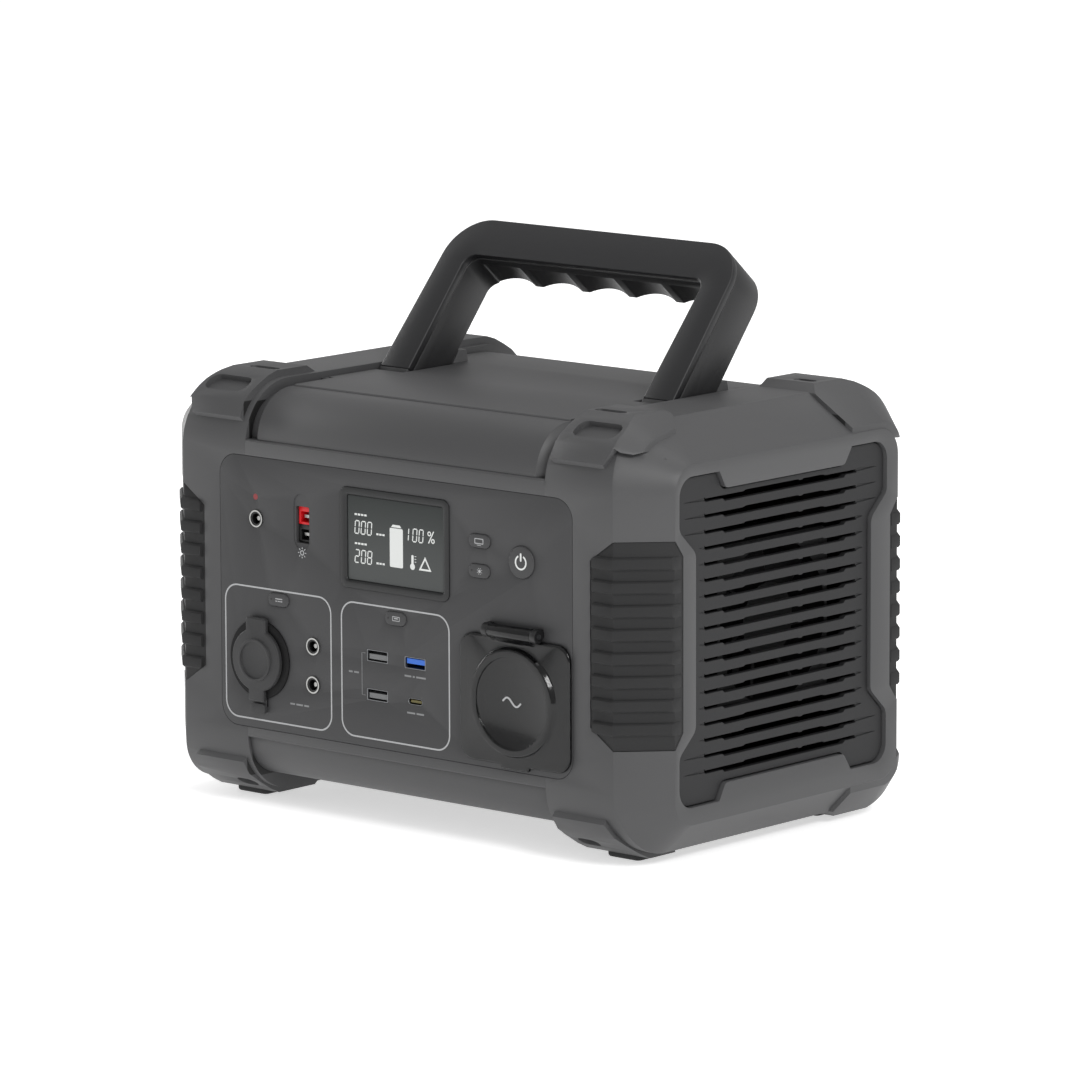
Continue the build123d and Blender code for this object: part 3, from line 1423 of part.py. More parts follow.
def fan_rotor_right():
    with BuildPart() as rotor:
        # cup-shaped hub
        with BuildSketch(side_plane(FAN_X + 6)):
            with Locations(FAN_AXIS):
                Circle(18)
        extrude(amount=16)
        with BuildSketch(side_plane(FAN_X + 5)):
            with Locations(FAN_AXIS):
                Circle(15.5)
        extrude(amount=8, mode=Mode.SUBTRACT)
        # twisted blades
        for i in range(BLADE_COUNT):
            angle = math.radians(i * 360 / BLADE_COUNT)
            radial = Plane(origin=(FAN_X + 14, *FAN_AXIS), x_dir=(1, 0, 0),
                           z_dir=(0, math.cos(angle), math.sin(angle)))
            with BuildSketch(radial.offset(17.0)):
                Rectangle(16, 1.6, rotation=38)
            with BuildSketch(radial.offset(36.5)):
                Rectangle(18, 1.2, rotation=26)
            loft()
        # bearing boss and its bore
        with BuildSketch(side_plane(FAN_X + 9)):
            with Locations(FAN_AXIS):
                Circle(3.0)
        extrude(amount=5)
        with BuildSketch(side_plane(FAN_X)):
            with Locations(FAN_AXIS):
                Circle(1.55)
        extrude(amount=12.0, mode=Mode.SUBTRACT)
    return rotor.part


# ---------------------------------------------------------------- build and write
os.makedirs("parts", exist_ok=True)

save_pair(right_end_cap(), "right_end_cap", "left_end_cap")
save_pair(right_vent_grille(), "right_vent_grille", "left_vent_grille")
front_grip = grip_front_right()
save_pair(front_grip, "grip_front_right", "grip_front_left")
save_pair(mirrored(front_grip, MID_DEPTH_PLANE), "grip_rear_right", "grip_rear_left")
save_pair(fan_rotor_right(), "fan_rotor_right", "fan_rotor_left")

save(pv_housing(PV_RISE, face_back=2.2), "pv_housing_red")
save(pv_housing(-PV_RISE, face_back=2.5), "pv_housing_black")

save(push_button(POWER_BUTTON, draw_power_face, proud=0.9, bevel=0.5,
                 flange_margin=1.2, stem_radius=2.0), "power_button")
for button_name, button_place in PILL_BUTTONS.items():
    save(push_button(button_place, draw_pill_face, proud=0.7, bevel=0.4,
                     flange_margin=1.0, stem_radius=1.6), button_name)

whole_handle = handle_blank()
save(handle_frame(whole_handle), "handle_frame")
save(handle_piece(whole_handle, Mode.INTERSECT), "handle_front_cover")

# every other piece is named after the function that builds it
for build in (
        rubber_feet, top_cover, top_plate, bottom_tray, front_frame, rear_panel,
        case_screws, control_panel, display_bezel, display_window, display_module,
        usb_shells, usb_tongues, usb_fast_tongue, dc_jack_contacts, dc_jack_bodies,
        input_led, pv_contacts, car_socket_bezel, car_socket_barrel, car_socket_contact,
        car_socket_cap, ac_socket_housing, ac_contacts, ac_cover, ac_hinge_pin,
        tact_switches, control_board, handle_brackets, handle_pivot_pins, battery_cells,
        cell_holders, bus_strips, battery_management_board, inverter_chassis,
        inverter_board, inverter_heatsinks, inverter_components, battery_leads,
        fan_frames):
    save(build(), build.__name__)
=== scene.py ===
"""Portable power station: materials, softened edges, panel graphics and a studio set.

The control panel faces -Y, the width runs along X and Z is up, in metres. Panel graphics are
drawn in millimetres from the panel's centre: x to the right, z up, depth into the case.
"""
import bpy
import bmesh
import math
from mathutils import Vector, Matrix


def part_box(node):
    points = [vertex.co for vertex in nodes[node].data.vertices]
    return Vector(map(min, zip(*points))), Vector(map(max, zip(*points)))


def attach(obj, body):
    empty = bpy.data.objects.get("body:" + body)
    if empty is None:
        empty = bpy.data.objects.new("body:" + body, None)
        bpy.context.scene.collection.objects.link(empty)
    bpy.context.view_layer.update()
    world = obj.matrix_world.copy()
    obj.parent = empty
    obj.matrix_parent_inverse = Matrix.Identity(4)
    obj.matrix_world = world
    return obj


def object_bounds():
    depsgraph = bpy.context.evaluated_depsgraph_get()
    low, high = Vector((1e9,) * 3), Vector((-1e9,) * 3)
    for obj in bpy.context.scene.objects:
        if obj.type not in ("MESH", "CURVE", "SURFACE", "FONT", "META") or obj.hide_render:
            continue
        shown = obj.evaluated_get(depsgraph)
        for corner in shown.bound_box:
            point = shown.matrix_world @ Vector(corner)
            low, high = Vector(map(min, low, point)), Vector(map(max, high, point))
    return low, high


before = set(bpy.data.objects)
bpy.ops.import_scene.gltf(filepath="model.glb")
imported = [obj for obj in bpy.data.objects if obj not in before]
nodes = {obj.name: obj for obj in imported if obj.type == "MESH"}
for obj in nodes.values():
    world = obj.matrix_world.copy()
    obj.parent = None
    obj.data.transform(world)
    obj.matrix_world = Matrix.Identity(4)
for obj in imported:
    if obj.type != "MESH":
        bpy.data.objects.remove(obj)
cad_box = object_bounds()

MM = 1000                       # millimetres in a metre
panel_low, panel_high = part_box("control_panel")
PANEL_X = (panel_low.x + panel_high.x) / 2
PANEL_Y = panel_low.y           # the front face
PANEL_Z = (panel_low.z + panel_high.z) / 2

# The hollow of the casing, as a block about its centre
HOLLOW_CENTRE = ((cad_box[0].x + cad_box[1].x) / 2, PANEL_Y + 0.1013, PANEL_Z)
HOLLOW_HALF_SIZE = (0.1492, 0.0984, 0.0901)
FACING_IN = -0.0005             # a normal's product with the way out, below which it faces in
UNLIT = (0.003, 0.003, 0.0031, 1)

# ------------------------------------------------------------------ materials
MIX_FACTOR, MIX_A, MIX_B, MIX_RESULT = 0, 6, 7, 2       # colour sockets of a Mix node


def linear_rgb(hex_colour):
    """sRGB hex to linear rgb."""
    values = [int(hex_colour[i:i + 2], 16) / 255 for i in (0, 2, 4)]
    return tuple(c / 12.92 if c <= 0.04045 else ((c + 0.055) / 1.055) ** 2.4 for c in values)


def tint(colour, scale, lift=0.0):
    return tuple(min(1, c * scale + lift) for c in colour) + (1,)


def set_inputs(tree, node, inputs):
    """Link each input that is given a socket, and set the others."""
    for key, value in inputs.items():
        if isinstance(value, bpy.types.NodeSocket):
            tree.links.new(value, node.inputs[key])
        else:
            node.inputs[key].default_value = value


def add_node(tree, kind, inputs, **properties):
    node = tree.nodes.new("ShaderNode" + kind)
    for key, value in properties.items():
        setattr(node, key, value)
    set_inputs(tree, node, inputs)
    return node


def add_math(tree, operation, first, second):
    return add_node(tree, "Math", {0: first, 1: second}, operation=operation).outputs[0]


def add_dust(tree, colour, base, amount):
    """Lighten the faces that look up, as settled dust and handling leave them."""
    geometry = add_node(tree, "NewGeometry", {})
    normal = add_node(tree, "SeparateXYZ", {0: geometry.outputs["Normal"]})
    upward = add_node(tree, "MapRange", {
        "Value": normal.outputs["Z"], "From Min": 0.2, "From Max": 1.0, "To Max": amount})
    return add_node(tree, "Mix", {
        MIX_FACTOR: upward.outputs[0], MIX_A: colour, MIX_B: tint(base, 1.5, lift=0.01),
    }, data_type="RGBA").outputs[MIX_RESULT]


def paint_hollow_shade(tree, colour):
    """Turn the faces that look into the casing nearly black: painted shade inside the hollow,
    seen through the vents.
    """
    geometry = add_node(tree, "NewGeometry", {})
    offset = add_node(tree, "VectorMath", {0: geometry.outputs["Position"], 1: HOLLOW_CENTRE},
                      operation="SUBTRACT").outputs[0]
    outward = add_node(tree, "VectorMath", {0: offset, 1: geometry.outputs["True Normal"]},
                       operation="DOT_PRODUCT")
    distance = add_node(tree, "VectorMath", {0: offset}, operation="ABSOLUTE")
    axes = add_node(tree, "SeparateXYZ", {0: distance.outputs[0]})
    inside = None
    for axis, limit in enumerate(HOLLOW_HALF_SIZE):
        within = add_math(tree, "LESS_THAN", axes.outputs[axis], limit)
        inside = within if inside is None else add_math(tree, "MULTIPLY", inside, within)
    facing = add_math(tree, "LESS_THAN", outward.outputs["Value"], FACING_IN)
    shade_mask = add_math(tree, "MULTIPLY", inside, facing)
    return add_node(tree, "Mix", {MIX_FACTOR: shade_mask, MIX_A: colour, MIX_B: UNLIT},
                    data_type="RGBA").outputs[MIX_RESULT]


def add_relief(tree, height, place, grain, depth, cells, soften):
    """Bump of the given depth (um), over edges rounded by soften (mm)."""
    if cells:
        voronoi = add_node(tree, "TexVoronoi", {"Scale": grain, "Vector": place})
        height = voronoi.outputs["Distance"]
    bump = add_node(tree, "Bump", {"Strength": 0.6, "Distance": depth / 1e6, "Height": height})
    if soften:
        bevel = add_node(tree, "Bevel", {"Radius": soften / MM}, samples=4)
        set_inputs(tree, bump, {"Normal": bevel.outputs[0]})
    return bump.outputs[0]


def make_material(name, hex_colour, rough, grain, depth, variation, rough_spread=0.08,
                  coat=0.0, metal=0.0, spec=0.5, cells=False, stretch=None, dust=0.0,
                  emit=0.0, sheen=0.0, hollow=False, soften=0.0, clear=0.0):
    """Principled surface with a broad tone variation and a fine speckle.

    grain is the speckle's scale, stretch its scale along each axis, cells makes the relief
    cellular, and clear is the share of light that passes straight through.
    """
    material = bpy.data.materials.new(name)
    material.use_nodes = True
    tree = material.node_tree
    tree.nodes.clear()
    output = add_node(tree, "OutputMaterial", {})
    surface = add_node(tree, "BsdfPrincipled", {})
    place = add_node(tree, "TexCoord", {}).outputs["Object"]
    base = linear_rgb(hex_colour)

    broad = add_node(tree, "TexNoise", {
        "Vector": place, "Scale": 14.0, "Detail": 5.0, "Roughness": 0.6})
    speckle = add_node(tree, "TexNoise", {"Vector": place, "Scale": grain, "Detail": 3.0})
    if stretch:
        mapping = add_node(tree, "Mapping", {"Vector": place, "Scale": stretch})
        set_inputs(tree, speckle, {"Vector": mapping.outputs[0]})

    # 0.55 of the broad noise and 0.45 of the speckle drive both colour and roughness
    tone = add_node(tree, "Mix", {
        MIX_A: tint(base, 1 - variation), MIX_B: tint(base, 1 + variation)}, data_type="RGBA")
    blend = add_node(tree, "Math", {0: broad.outputs["Fac"], 1: 0.55},
                     operation="MULTIPLY_ADD")
    set_inputs(tree, blend, {2: add_math(tree, "MULTIPLY", speckle.outputs["Fac"], 0.45)})
    set_inputs(tree, tone, {MIX_FACTOR: blend.outputs[0]})
    colour = tone.outputs[MIX_RESULT]
    if dust:
        colour = add_dust(tree, colour, base, dust)
    # painted shade: faces that look into the hollow of the casing turn nearly black
    if hollow:
        colour = paint_hollow_shade(tree, colour)
    roughness = add_node(tree, "MapRange", {
        "Value": blend.outputs[0],
        "To Min": max(0.02, rough - rough_spread), "To Max": min(1.0, rough + rough_spread)})
    set_inputs(tree, surface, {
        "Base Color": colour, "Roughness": roughness.outputs[0], "Metallic": metal,
        "Specular IOR Level": spec, "Coat Weight": coat, "Coat Roughness": 0.05})
    if depth:
        relief = add_relief(tree, speckle.outputs["Fac"], place, grain, depth, cells, soften)
        set_inputs(tree, surface, {"Normal": relief})
    if sheen:
        set_inputs(tree, surface, {"Sheen Weight": sheen, "Sheen Roughness": 0.5})
    if emit:
        set_inputs(tree, surface, {"Emission Color": colour, "Emission Strength": emit})
    if clear:
        through = add_node(tree, "BsdfTransparent", {0: (0.62, 0.63, 0.64, 1)})
        surface = add_node(tree, "MixShader", {
            0: clear, 1: surface.outputs[0], 2: through.outputs[0]})
    set_inputs(tree, output, {0: surface.outputs[0]})
    return material


# name, sRGB colour, roughness, grain scale, relief depth (um), tone variation, extras, pieces
MATERIALS = (
    # hollow paints shade: the casing's inner faces turn nearly black
    ("case_moulded", "414142", 0.50, 1500, 50, 0.06, dict(dust=0.06, hollow=True),
     "left_end_cap right_end_cap bottom_tray front_frame rear_panel"),
    # the top pieces take a slightly darker copy of the case colour: painted shade against the
    # light from above
    ("case_top_moulded", "3f3f40", 0.50, 1500, 50, 0.06, dict(dust=0.06, hollow=True),
     "top_cover top_plate"),
    ("panel_satin", "3b3b3c", 0.52, 1900, 40, 0.05, dict(spec=0.34), "control_panel"),
    ("grille_moulded", "252526", 0.58, 1500, 50, 0.07, dict(soften=0.35, spec=0.28),
     "left_vent_grille right_vent_grille"),
    ("grip_rubber", "101011", 0.70, 1300, 60, 0.10, dict(sheen=0.02),
     "grip_front_left grip_front_right grip_rear_left grip_rear_right"),
    ("cap_rubber", "262627", 0.60, 1500, 50, 0.08, dict(sheen=0.06), "car_socket_cap"),
    ("foot_rubber", "2c2c2d", 0.75, 900, 70, 0.12, dict(cells=True), "rubber_feet"),
    ("handle_moulded", "212122", 0.46, 1500, 50, 0.07, {}, "handle_frame"),
    ("handle_cover_satin", "18181a", 0.46, 1900, 40, 0.06, {}, "handle_front_cover"),
    ("black_satin", "111112", 0.42, 1500, 30, 0.10, {}, "dc_jack_bodies ac_socket_housing"),
    ("socket_bezel", "080809", 0.62, 1500, 30, 0.08, dict(spec=0.25), "car_socket_bezel"),
    ("button_satin", "3a3a3b", 0.48, 1900, 30, 0.06, dict(spec=0.36),
     "power_button display_button light_button dc_button usb_button"),
    ("smoked_cover", "070708", 0.14, 900, 3, 0.10,
     dict(rough_spread=0.02, coat=0.15, clear=0.30), "ac_cover"),
    ("dark_gloss", "101112", 0.48, 900, 4, 0.08, dict(rough_spread=0.04), "display_bezel"),
    ("lcd_screen", "2b2f2e", 0.36, 2600, 2, 0.04, dict(rough_spread=0.03), "display_window"),
    ("lcd_module", "2c302f", 0.5, 2600, 5, 0.08, {}, "display_module"),
    ("lcd_segment", "d2d4d2", 0.5, 2600, 0, 0.02, dict(emit=0.05), ""),
    ("printed_line", "a6a7a8", 0.6, 2600, 4, 0.08, {}, ""),
    ("printed_mark", "7c7d7e", 0.6, 2600, 4, 0.10, {}, ""),
    ("red_connector", "d0111b", 0.42, 1500, 30, 0.07, {}, "pv_housing_red"),
    ("red_indicator", "7e2226", 0.30, 1500, 2, 0.06, {}, "input_led"),
    ("black_connector", "0e0e0f", 0.45, 1500, 30, 0.12, {}, "pv_housing_black"),
    ("usb_blue", "2464c8", 0.42, 1500, 20, 0.06, {}, "usb_fast_tongue"),
    ("usb_olive", "5c5420", 0.42, 1500, 20, 0.06, {}, ""),
    ("usb_tongue_dark", "68696a", 0.42, 1500, 20, 0.06, {}, "usb_tongues"),
    ("stamped_steel", "7d7e80", 0.36, 700, 10, 0.06, dict(metal=1.0, stretch=(1, 1, 12)),
     "usb_shells ac_hinge_pin"),
    ("dark_steel", "505152", 0.34, 700, 10, 0.08, dict(metal=1.0),
     "handle_brackets case_screws"),
    ("nickel_plate", "a9a9a7", 0.30, 700, 6, 0.05, dict(metal=1.0),
     "dc_jack_contacts pv_contacts ac_contacts car_socket_contact bus_strips "
     "car_socket_barrel"),
    # dark grey: the heatsinks' aluminium, its tone darkened as painted shade inside the case
    ("extruded_aluminium", "3c3d3e", 0.45, 500, 10, 0.06,
     dict(metal=1.0, stretch=(1, 14, 1)), "inverter_heatsinks"),
    # dark grey: the chassis sheet's colour darkened as painted shade inside the case, seen
    # through the vents
    ("blackened_sheet", "1c1d1e", 0.50, 300, 10, 0.14, dict(cells=True), "inverter_chassis"),
    ("board_green", "14512e", 0.38, 900, 20, 0.14, dict(cells=True),
     "control_board inverter_board battery_management_board"),
    ("cell_sleeve", "1f6d63", 0.34, 900, 10, 0.06, {}, "battery_cells"),
    ("cell_holder", "161617", 0.55, 1300, 40, 0.08, {}, "cell_holders"),
    ("wound_core", "3a2c1c", 0.5, 400, 80, 0.20, dict(stretch=(1, 1, 8)),
     "inverter_components"),
    ("lead_sleeve", "a51d1d", 0.5, 900, 10, 0.08, {}, "battery_leads"),
    # near black: the fans' dark plastic, darkened further as painted shade inside the case
    ("fan_plastic", "060607", 0.70, 1300, 20, 0.06, {},
     "fan_rotor_left fan_rotor_right fan_frames"),
    ("switch_body", "2b2c2d", 0.45, 1300, 20, 0.06, {}, "tact_switches"),
    ("pin_steel", "8d8f91", 0.3, 700, 10, 0.06, dict(metal=1.0), "handle_pivot_pins"),
)
PAINT = {}
for name, *look, extras, pieces in MATERIALS:
    PAINT[name] = make_material(name, *look, **extras)
    for piece in pieces.split():
        slots = nodes[piece].data.materials
        slots.clear()
        slots.append(PAINT[name])


def paint_small_tongue():
    """Olive for the small reversible port, the narrowest tongue of the four quarters."""
    mesh = nodes["usb_tongues"].data
    xs = [v.co.x for v in mesh.vertices]
    zs = [v.co.z for v in mesh.vertices]
    middle_x = (min(xs) + max(xs)) / 2
    middle_z = (min(zs) + max(zs)) / 2
    tongues = {}
    for face in mesh.polygons:
        quarter = (face.center.x > middle_x, face.center.z > middle_z)
        tongues.setdefault(quarter, []).append(face)

    def width(faces):
        across = [xs[i] for face in faces for i in face.vertices]
        return max(across) - min(across)

    mesh.materials.append(PAINT["usb_olive"])
    for face in min(tongues.values(), key=width):
        face.material_index = 1


def paint_strap_foot(height=0.00495, half_width=0.0052):
    """The foot of the dust cap's strap, low on the bezel, is the same rubber as the cap."""
    bezel = nodes["car_socket_bezel"]
    bezel.data.materials.append(PAINT["cap_rubber"])
    cap_low, cap_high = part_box("car_socket_cap")
    foot_x = (cap_low.x + cap_high.x) / 2
    foot_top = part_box("car_socket_bezel")[0].z + height
    for face in bezel.data.polygons:
        centre = bezel.matrix_world @ face.center
        if centre.z < foot_top and abs(centre.x - foot_x) < half_width:
            face.material_index = 1


paint_small_tongue()
paint_strap_foot()

# ------------------------------------------------------------------ soften the CAD edges
# bevel width (mm): pieces
BEVELS = {
    1.0: "handle_frame",
    0.9: "left_end_cap right_end_cap",
    0.7: "grip_front_left grip_front_right grip_rear_left grip_rear_right",
    0.6: "top_cover bottom_tray rubber_feet handle_front_cover",
    0.4: "front_frame rear_panel top_plate",
    0.35: "car_socket_cap ac_cover",
    0.25: "control_panel car_socket_bezel ac_socket_housing display_bezel pv_housing_red "
          "pv_housing_black handle_brackets",
    0.2: "power_button display_button light_button dc_button usb_button",
    0.1: "display_window usb_shells",
}


def add_modifier(piece, name, kind, **settings):
    modifier = piece.modifiers.new(name, kind)
    for key, value in settings.items():
        setattr(modifier, key, value)


def soften_edges(piece, width):
    add_modifier(piece, "weld", "WELD", merge_threshold=2e-6)
    add_modifier(piece, "planar", "DECIMATE", decimate_type="DISSOLVE",
                 angle_limit=math.radians(0.6))
    add_modifier(piece, "soft_edges", "BEVEL", width=width / MM, segments=2,
                 limit_method="ANGLE", angle_limit=math.radians(28),
                 use_clamp_overlap=True, harden_normals=False)
    add_modifier(piece, "tri", "TRIANGULATE")


for width, pieces in BEVELS.items():
    for piece in pieces.split():
        soften_edges(nodes[piece], width)
for piece in nodes.values():
    for face in piece.data.polygons:
        face.use_smooth = True

# ------------------------------------------------------------------ drawing tools


def rounded_rect(cx, cz, width, height, radius, steps=10):
    points = []
    for side_x, side_z, start in ((1, 1, 0), (-1, 1, 90), (-1, -1, 180), (1, -1, 270)):
        for i in range(steps + 1):
            angle = math.radians(start + 90 * i / steps)
            points.append((cx + side_x * (width / 2 - radius) + radius * math.cos(angle),
                           cz + side_z * (height / 2 - radius) + radius * math.sin(angle)))
    return points


def arc(cx, cz, radius, steps, start=0.0, end=360.0):
    """Points of a circle, or of an open arc with both its ends."""
    angles = [math.radians(start + (end - start) * i / steps)
              for i in range(steps + (end - start < 360))]
    return [(cx + radius * math.cos(a), cz + radius * math.sin(a)) for a in angles]


class Mark:
    """A raised figure made of closed prisms between two depths."""

    def __init__(self, front, back):
        self.bm = bmesh.new()
        self.front = front
        self.back = back

    def loop(self, points, depth):
        return [self.bm.verts.new((PANEL_X + x / MM, PANEL_Y + depth / MM, PANEL_Z + z / MM))
                for x, z in points]

    def plate(self, points, lift=0.0):
        front = self.loop(points, self.front - lift)
        back = self.loop(points, self.back)
        self.bm.faces.new(front)
        self.bm.faces.new(list(reversed(back)))
        for i in range(len(points)):
            j = (i + 1) % len(points)
            self.bm.faces.new((front[i], back[i], back[j], front[j]))

    def ring(self, outer, inner):
        front_out = self.loop(outer, self.front)
        front_in = self.loop(inner, self.front)
        back_out = self.loop(outer, self.back)
        back_in = self.loop(inner, self.back)
        for i in range(len(outer)):
            j = (i + 1) % len(outer)
            self.bm.faces.new((front_out[i], front_out[j], front_in[j], front_in[i]))
            self.bm.faces.new((back_out[j], back_out[i], back_in[i], back_in[j]))
            self.bm.faces.new((front_out[j], front_out[i], back_out[i], back_out[j]))
            self.bm.faces.new((front_in[i], front_in[j], back_in[j], back_in[i]))

    def circle_ring(self, cx, cz, outer, inner, steps):
        self.ring(arc(cx, cz, outer, steps), arc(cx, cz, inner, steps))

    def frame(self, cx, cz, width, height, line, radius, inner_radius, steps):
        self.ring(rounded_rect(cx, cz, width, height, radius, steps),
                  rounded_rect(cx, cz, width - 2 * line, height - 2 * line,
                               inner_radius, steps))

    def bar(self, x, z, width, height):
        """Rectangle from its lower left corner."""
        self.plate([(x, z), (x + width, z), (x + width, z + height), (x, z + height)])

    def bar_row(self, x, z, widths, height, gap):
        for width in widths:
            self.bar(x, z, width, height)
            x += width + gap

    def stroke(self, points, width):
        """Open ribbon along the points."""
        left, right = [], []
        for i, (x, z) in enumerate(points):
            before = points[max(i - 1, 0)]
            after = points[min(i + 1, len(points) - 1)]
            along = Vector((after[0] - before[0], after[1] - before[1])).normalized()
            left.append((x - along.y * width / 2, z + along.x * width / 2))
            right.append((x + along.y * width / 2, z - along.x * width / 2))
        self.plate(left + list(reversed(right)))

    def rays(self, cx, cz, inner, outer, width, start=0.0):
        """Eight short strokes round a centre."""
        for i in range(8):
            angle = math.radians(45 * i + start)
            self.stroke([(cx + r * math.cos(angle), cz + r * math.sin(angle))
                         for r in (inner, outer)], width)

    def build(self, name, material, body):
        bmesh.ops.recalc_face_normals(self.bm, faces=self.bm.faces)
        mesh = bpy.data.meshes.new(name)
        self.bm.to_mesh(mesh)
        self.bm.free()
        mark = bpy.data.objects.new(name, mesh)
        bpy.context.scene.collection.objects.link(mark)
        mesh.materials.append(PAINT[material])
        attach(mark, body)


# ------------------------------------------------------------------ prints on the panel
PRINT = (-0.06, 0.30)           # stands proud of the face and is rooted in the panel
OUTLINE_Z, OUTLINE_HEIGHT = -29.15, 64.3
OUTLINE_RADIUS, OUTLINE_LINE = 8.0, 0.75
OUTLINES = ((-73.3, 68.6), (1.1, 68.2))         # centre x, width: DC group, USB group
# centre x, centre z, widths of the bars
PORT_MARKS = (
    (-59.8, -50.6, (3.0, 4.2, 3.0)), (13.6, -28.3, (4.2, 1.2, 6.0)),
    (13.7, -45.6, (5.0, 4.6)), (-25.0, -30.4, (2.4, 3.0)),
)
PORT_MARK_GAP, PORT_MARK_HEIGHT = 0.9, 0.84
BRACKET = [(-17.6, -20.6), (-19.8, -20.6), (-19.8, -40.6), (-17.6, -40.6)]
SUN = (-57.35, 22.4)


def print_outlines():
    mark = Mark(*PRINT)
    for x, width in OUTLINES:
        mark.frame(x, OUTLINE_Z, width, OUTLINE_HEIGHT, line=OUTLINE_LINE,
                   radius=OUTLINE_RADIUS, inner_radius=OUTLINE_RADIUS - OUTLINE_LINE, steps=10)
    mark.build("panel_outlines", "printed_line", "body")


def print_port_marks():
    """Rows of small bars and one bracket beside the ports."""
    mark = Mark(*PRINT)
    for x, z, widths in PORT_MARKS:
        total = sum(widths) + PORT_MARK_GAP * (len(widths) - 1)
        mark.bar_row(x - total / 2, z - PORT_MARK_HEIGHT / 2, widths,
                     height=PORT_MARK_HEIGHT, gap=PORT_MARK_GAP)
    mark.stroke(BRACKET, width=0.3)
    mark.build("port_marks", "printed_mark", "body")


def print_sun():
    """Sun mark under the solar input."""
    mark = Mark(*PRINT)
    mark.circle_ring(*SUN, outer=1.25, inner=0.8, steps=32)
    mark.rays(*SUN, inner=1.8, outer=2.6, width=0.4)
    mark.build("solar_mark", "printed_line", "body")


print_outlines()
print_port_marks()
print_sun()

# ------------------------------------------------------------------ screen contents
screen_low, screen_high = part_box("display_window")
SCREEN_LEFT, SCREEN_RIGHT = ((x - PANEL_X) * MM for x in (screen_low.x, screen_high.x))
SCREEN_BOTTOM, SCREEN_TOP = ((z - PANEL_Z) * MM for z in (screen_low.z, screen_high.z))
SCREEN_FACE = (screen_low.y - PANEL_Y) * MM
LCD = (SCREEN_FACE - 0.03, SCREEN_FACE + 0.10)

# ends of each segment in a unit cell
SEGMENTS = {
    "a": ((0, 1), (1, 1)), "b": ((1, 1), (1, .5)), "c": ((1, .5), (1, 0)),
    "d": ((0, 0), (1, 0)), "e": ((0, .5), (0, 0)), "f": ((0, 1), (0, .5)),
    "g": ((0, .5), (1, .5)),
}
NUMERALS = {"0": "abcdef", "1": "bc", "2": "abged", "8": "abcdefg"}
NUMERAL_HEIGHT, NUMERAL_PITCH = 6.0, 3.9
NUMERAL_SLANT = 0.08            # sideways shift per height
SEGMENT_GAP = 0.18              # of the segment's thickness, at each end


def on_screen(across, down):
    """Fractions of the screen from its top left corner, to panel millimetres."""
    return (SCREEN_LEFT + (SCREEN_RIGHT - SCREEN_LEFT) * across,
            SCREEN_TOP - (SCREEN_TOP - SCREEN_BOTTOM) * down)


def draw_numeral(mark, numeral, x, z, width, thickness):
    for segment in NUMERALS[numeral]:
        start, end = (Vector((x + u * width, z + v * NUMERAL_HEIGHT))
                      for u, v in SEGMENTS[segment])
        along = (end - start).normalized()
        start = start + along * thickness * SEGMENT_GAP
        end = end - along * thickness * SEGMENT_GAP
        point = along * thickness / 2
        side = Vector((-along.y, along.x)) * thickness / 2
        outline = [start, start + point + side, end - point + side,
                   end, end - point - side, start + point - side]
        mark.plate([(p.x + (p.y - z) * NUMERAL_SLANT, p.y) for p in outline])


def draw_readings():
    """Two readings at the left with small blocks, and 100 % at the right."""
    mark = Mark(*LCD)
    left = 0.075
    for text, down in (("000", 0.445), ("208", 0.79)):
        x, z = on_screen(left, down)
        for i, numeral in enumerate(text):
            draw_numeral(mark, numeral, x + i * NUMERAL_PITCH, z, width=2.5, thickness=0.58)
        mark.bar_row(*on_screen(0.30, down - 0.012), [1.4] * 3, height=0.9, gap=0.5)
        mark.bar_row(*on_screen(left, down - 0.215), [1.5] * 4, height=0.9, gap=0.5)

    x, z = on_screen(0.615, 0.447)
    for numeral, step, shift in (("1", 0, 1.4), ("0", 1, 0.2), ("0", 2, 0.2)):
        draw_numeral(mark, numeral, x + step * NUMERAL_PITCH - shift, z,
                     width=2.4, thickness=0.55)
    x, z = on_screen(0.835, 0.447)
    mark.stroke([(x + 0.4, z + 0.2), (x + 3.6, z + 6.0)], width=0.6)
    for ring_x, ring_z in ((0.9, 4.7), (3.1, 1.4)):
        mark.circle_ring(x + ring_x, z + ring_z, outer=1.15, inner=0.6, steps=24)
    mark.build("lcd_numerals", "lcd_segment", "body")


def draw_battery_gauge():
    mark = Mark(*LCD)
    x, z = on_screen(0.508, 0.535)
    mark.plate(rounded_rect(x, z - 0.7, width=8.2, height=18.4, radius=0.7, steps=4))
    mark.plate([(x - 3.2, z + 8.9), (x + 3.2, z + 8.9), (x + 2.2, z + 10.1),
                (x - 2.2, z + 10.1)])
    mark.build("lcd_battery_gauge", "lcd_segment", "body")


def draw_icons():
    """Thermometer with three ticks, and a plain triangle."""
    mark = Mark(*LCD)
    x, z = on_screen(0.675, 0.72)
    mark.plate(arc(x, z - 1.0, radius=1.5, steps=28))
    mark.plate(rounded_rect(x, z + 1.9, width=1.4, height=5.2, radius=0.65, steps=4),
               lift=0.01)
    for i in range(3):
        mark.bar(x + 1.3, z + 1.2 + i * 1.3, width=1.0, height=0.3)
    x, z = on_screen(0.805, 0.775)
    mark.ring([(x - 3.9, z), (x + 3.9, z), (x, z + 6.6)],
              [(x - 2.5, z + 0.85), (x + 2.5, z + 0.85), (x, z + 5.0)])
    mark.build("lcd_icons", "lcd_segment", "body")


draw_readings()
draw_battery_gauge()
draw_icons()

# ------------------------------------------------------------------ marks that ride on keys
KEY_PROUD, KEY_ROOT = 0.05, 0.3
LAMP_PROUD = KEY_PROUD + 0.02


def key_face(piece):
    """Centre x, centre z and front depth."""
    low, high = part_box(piece)
    return (((low.x + high.x) / 2 - PANEL_X) * MM, ((low.z + high.z) / 2 - PANEL_Z) * MM,
            (low.y - PANEL_Y) * MM)


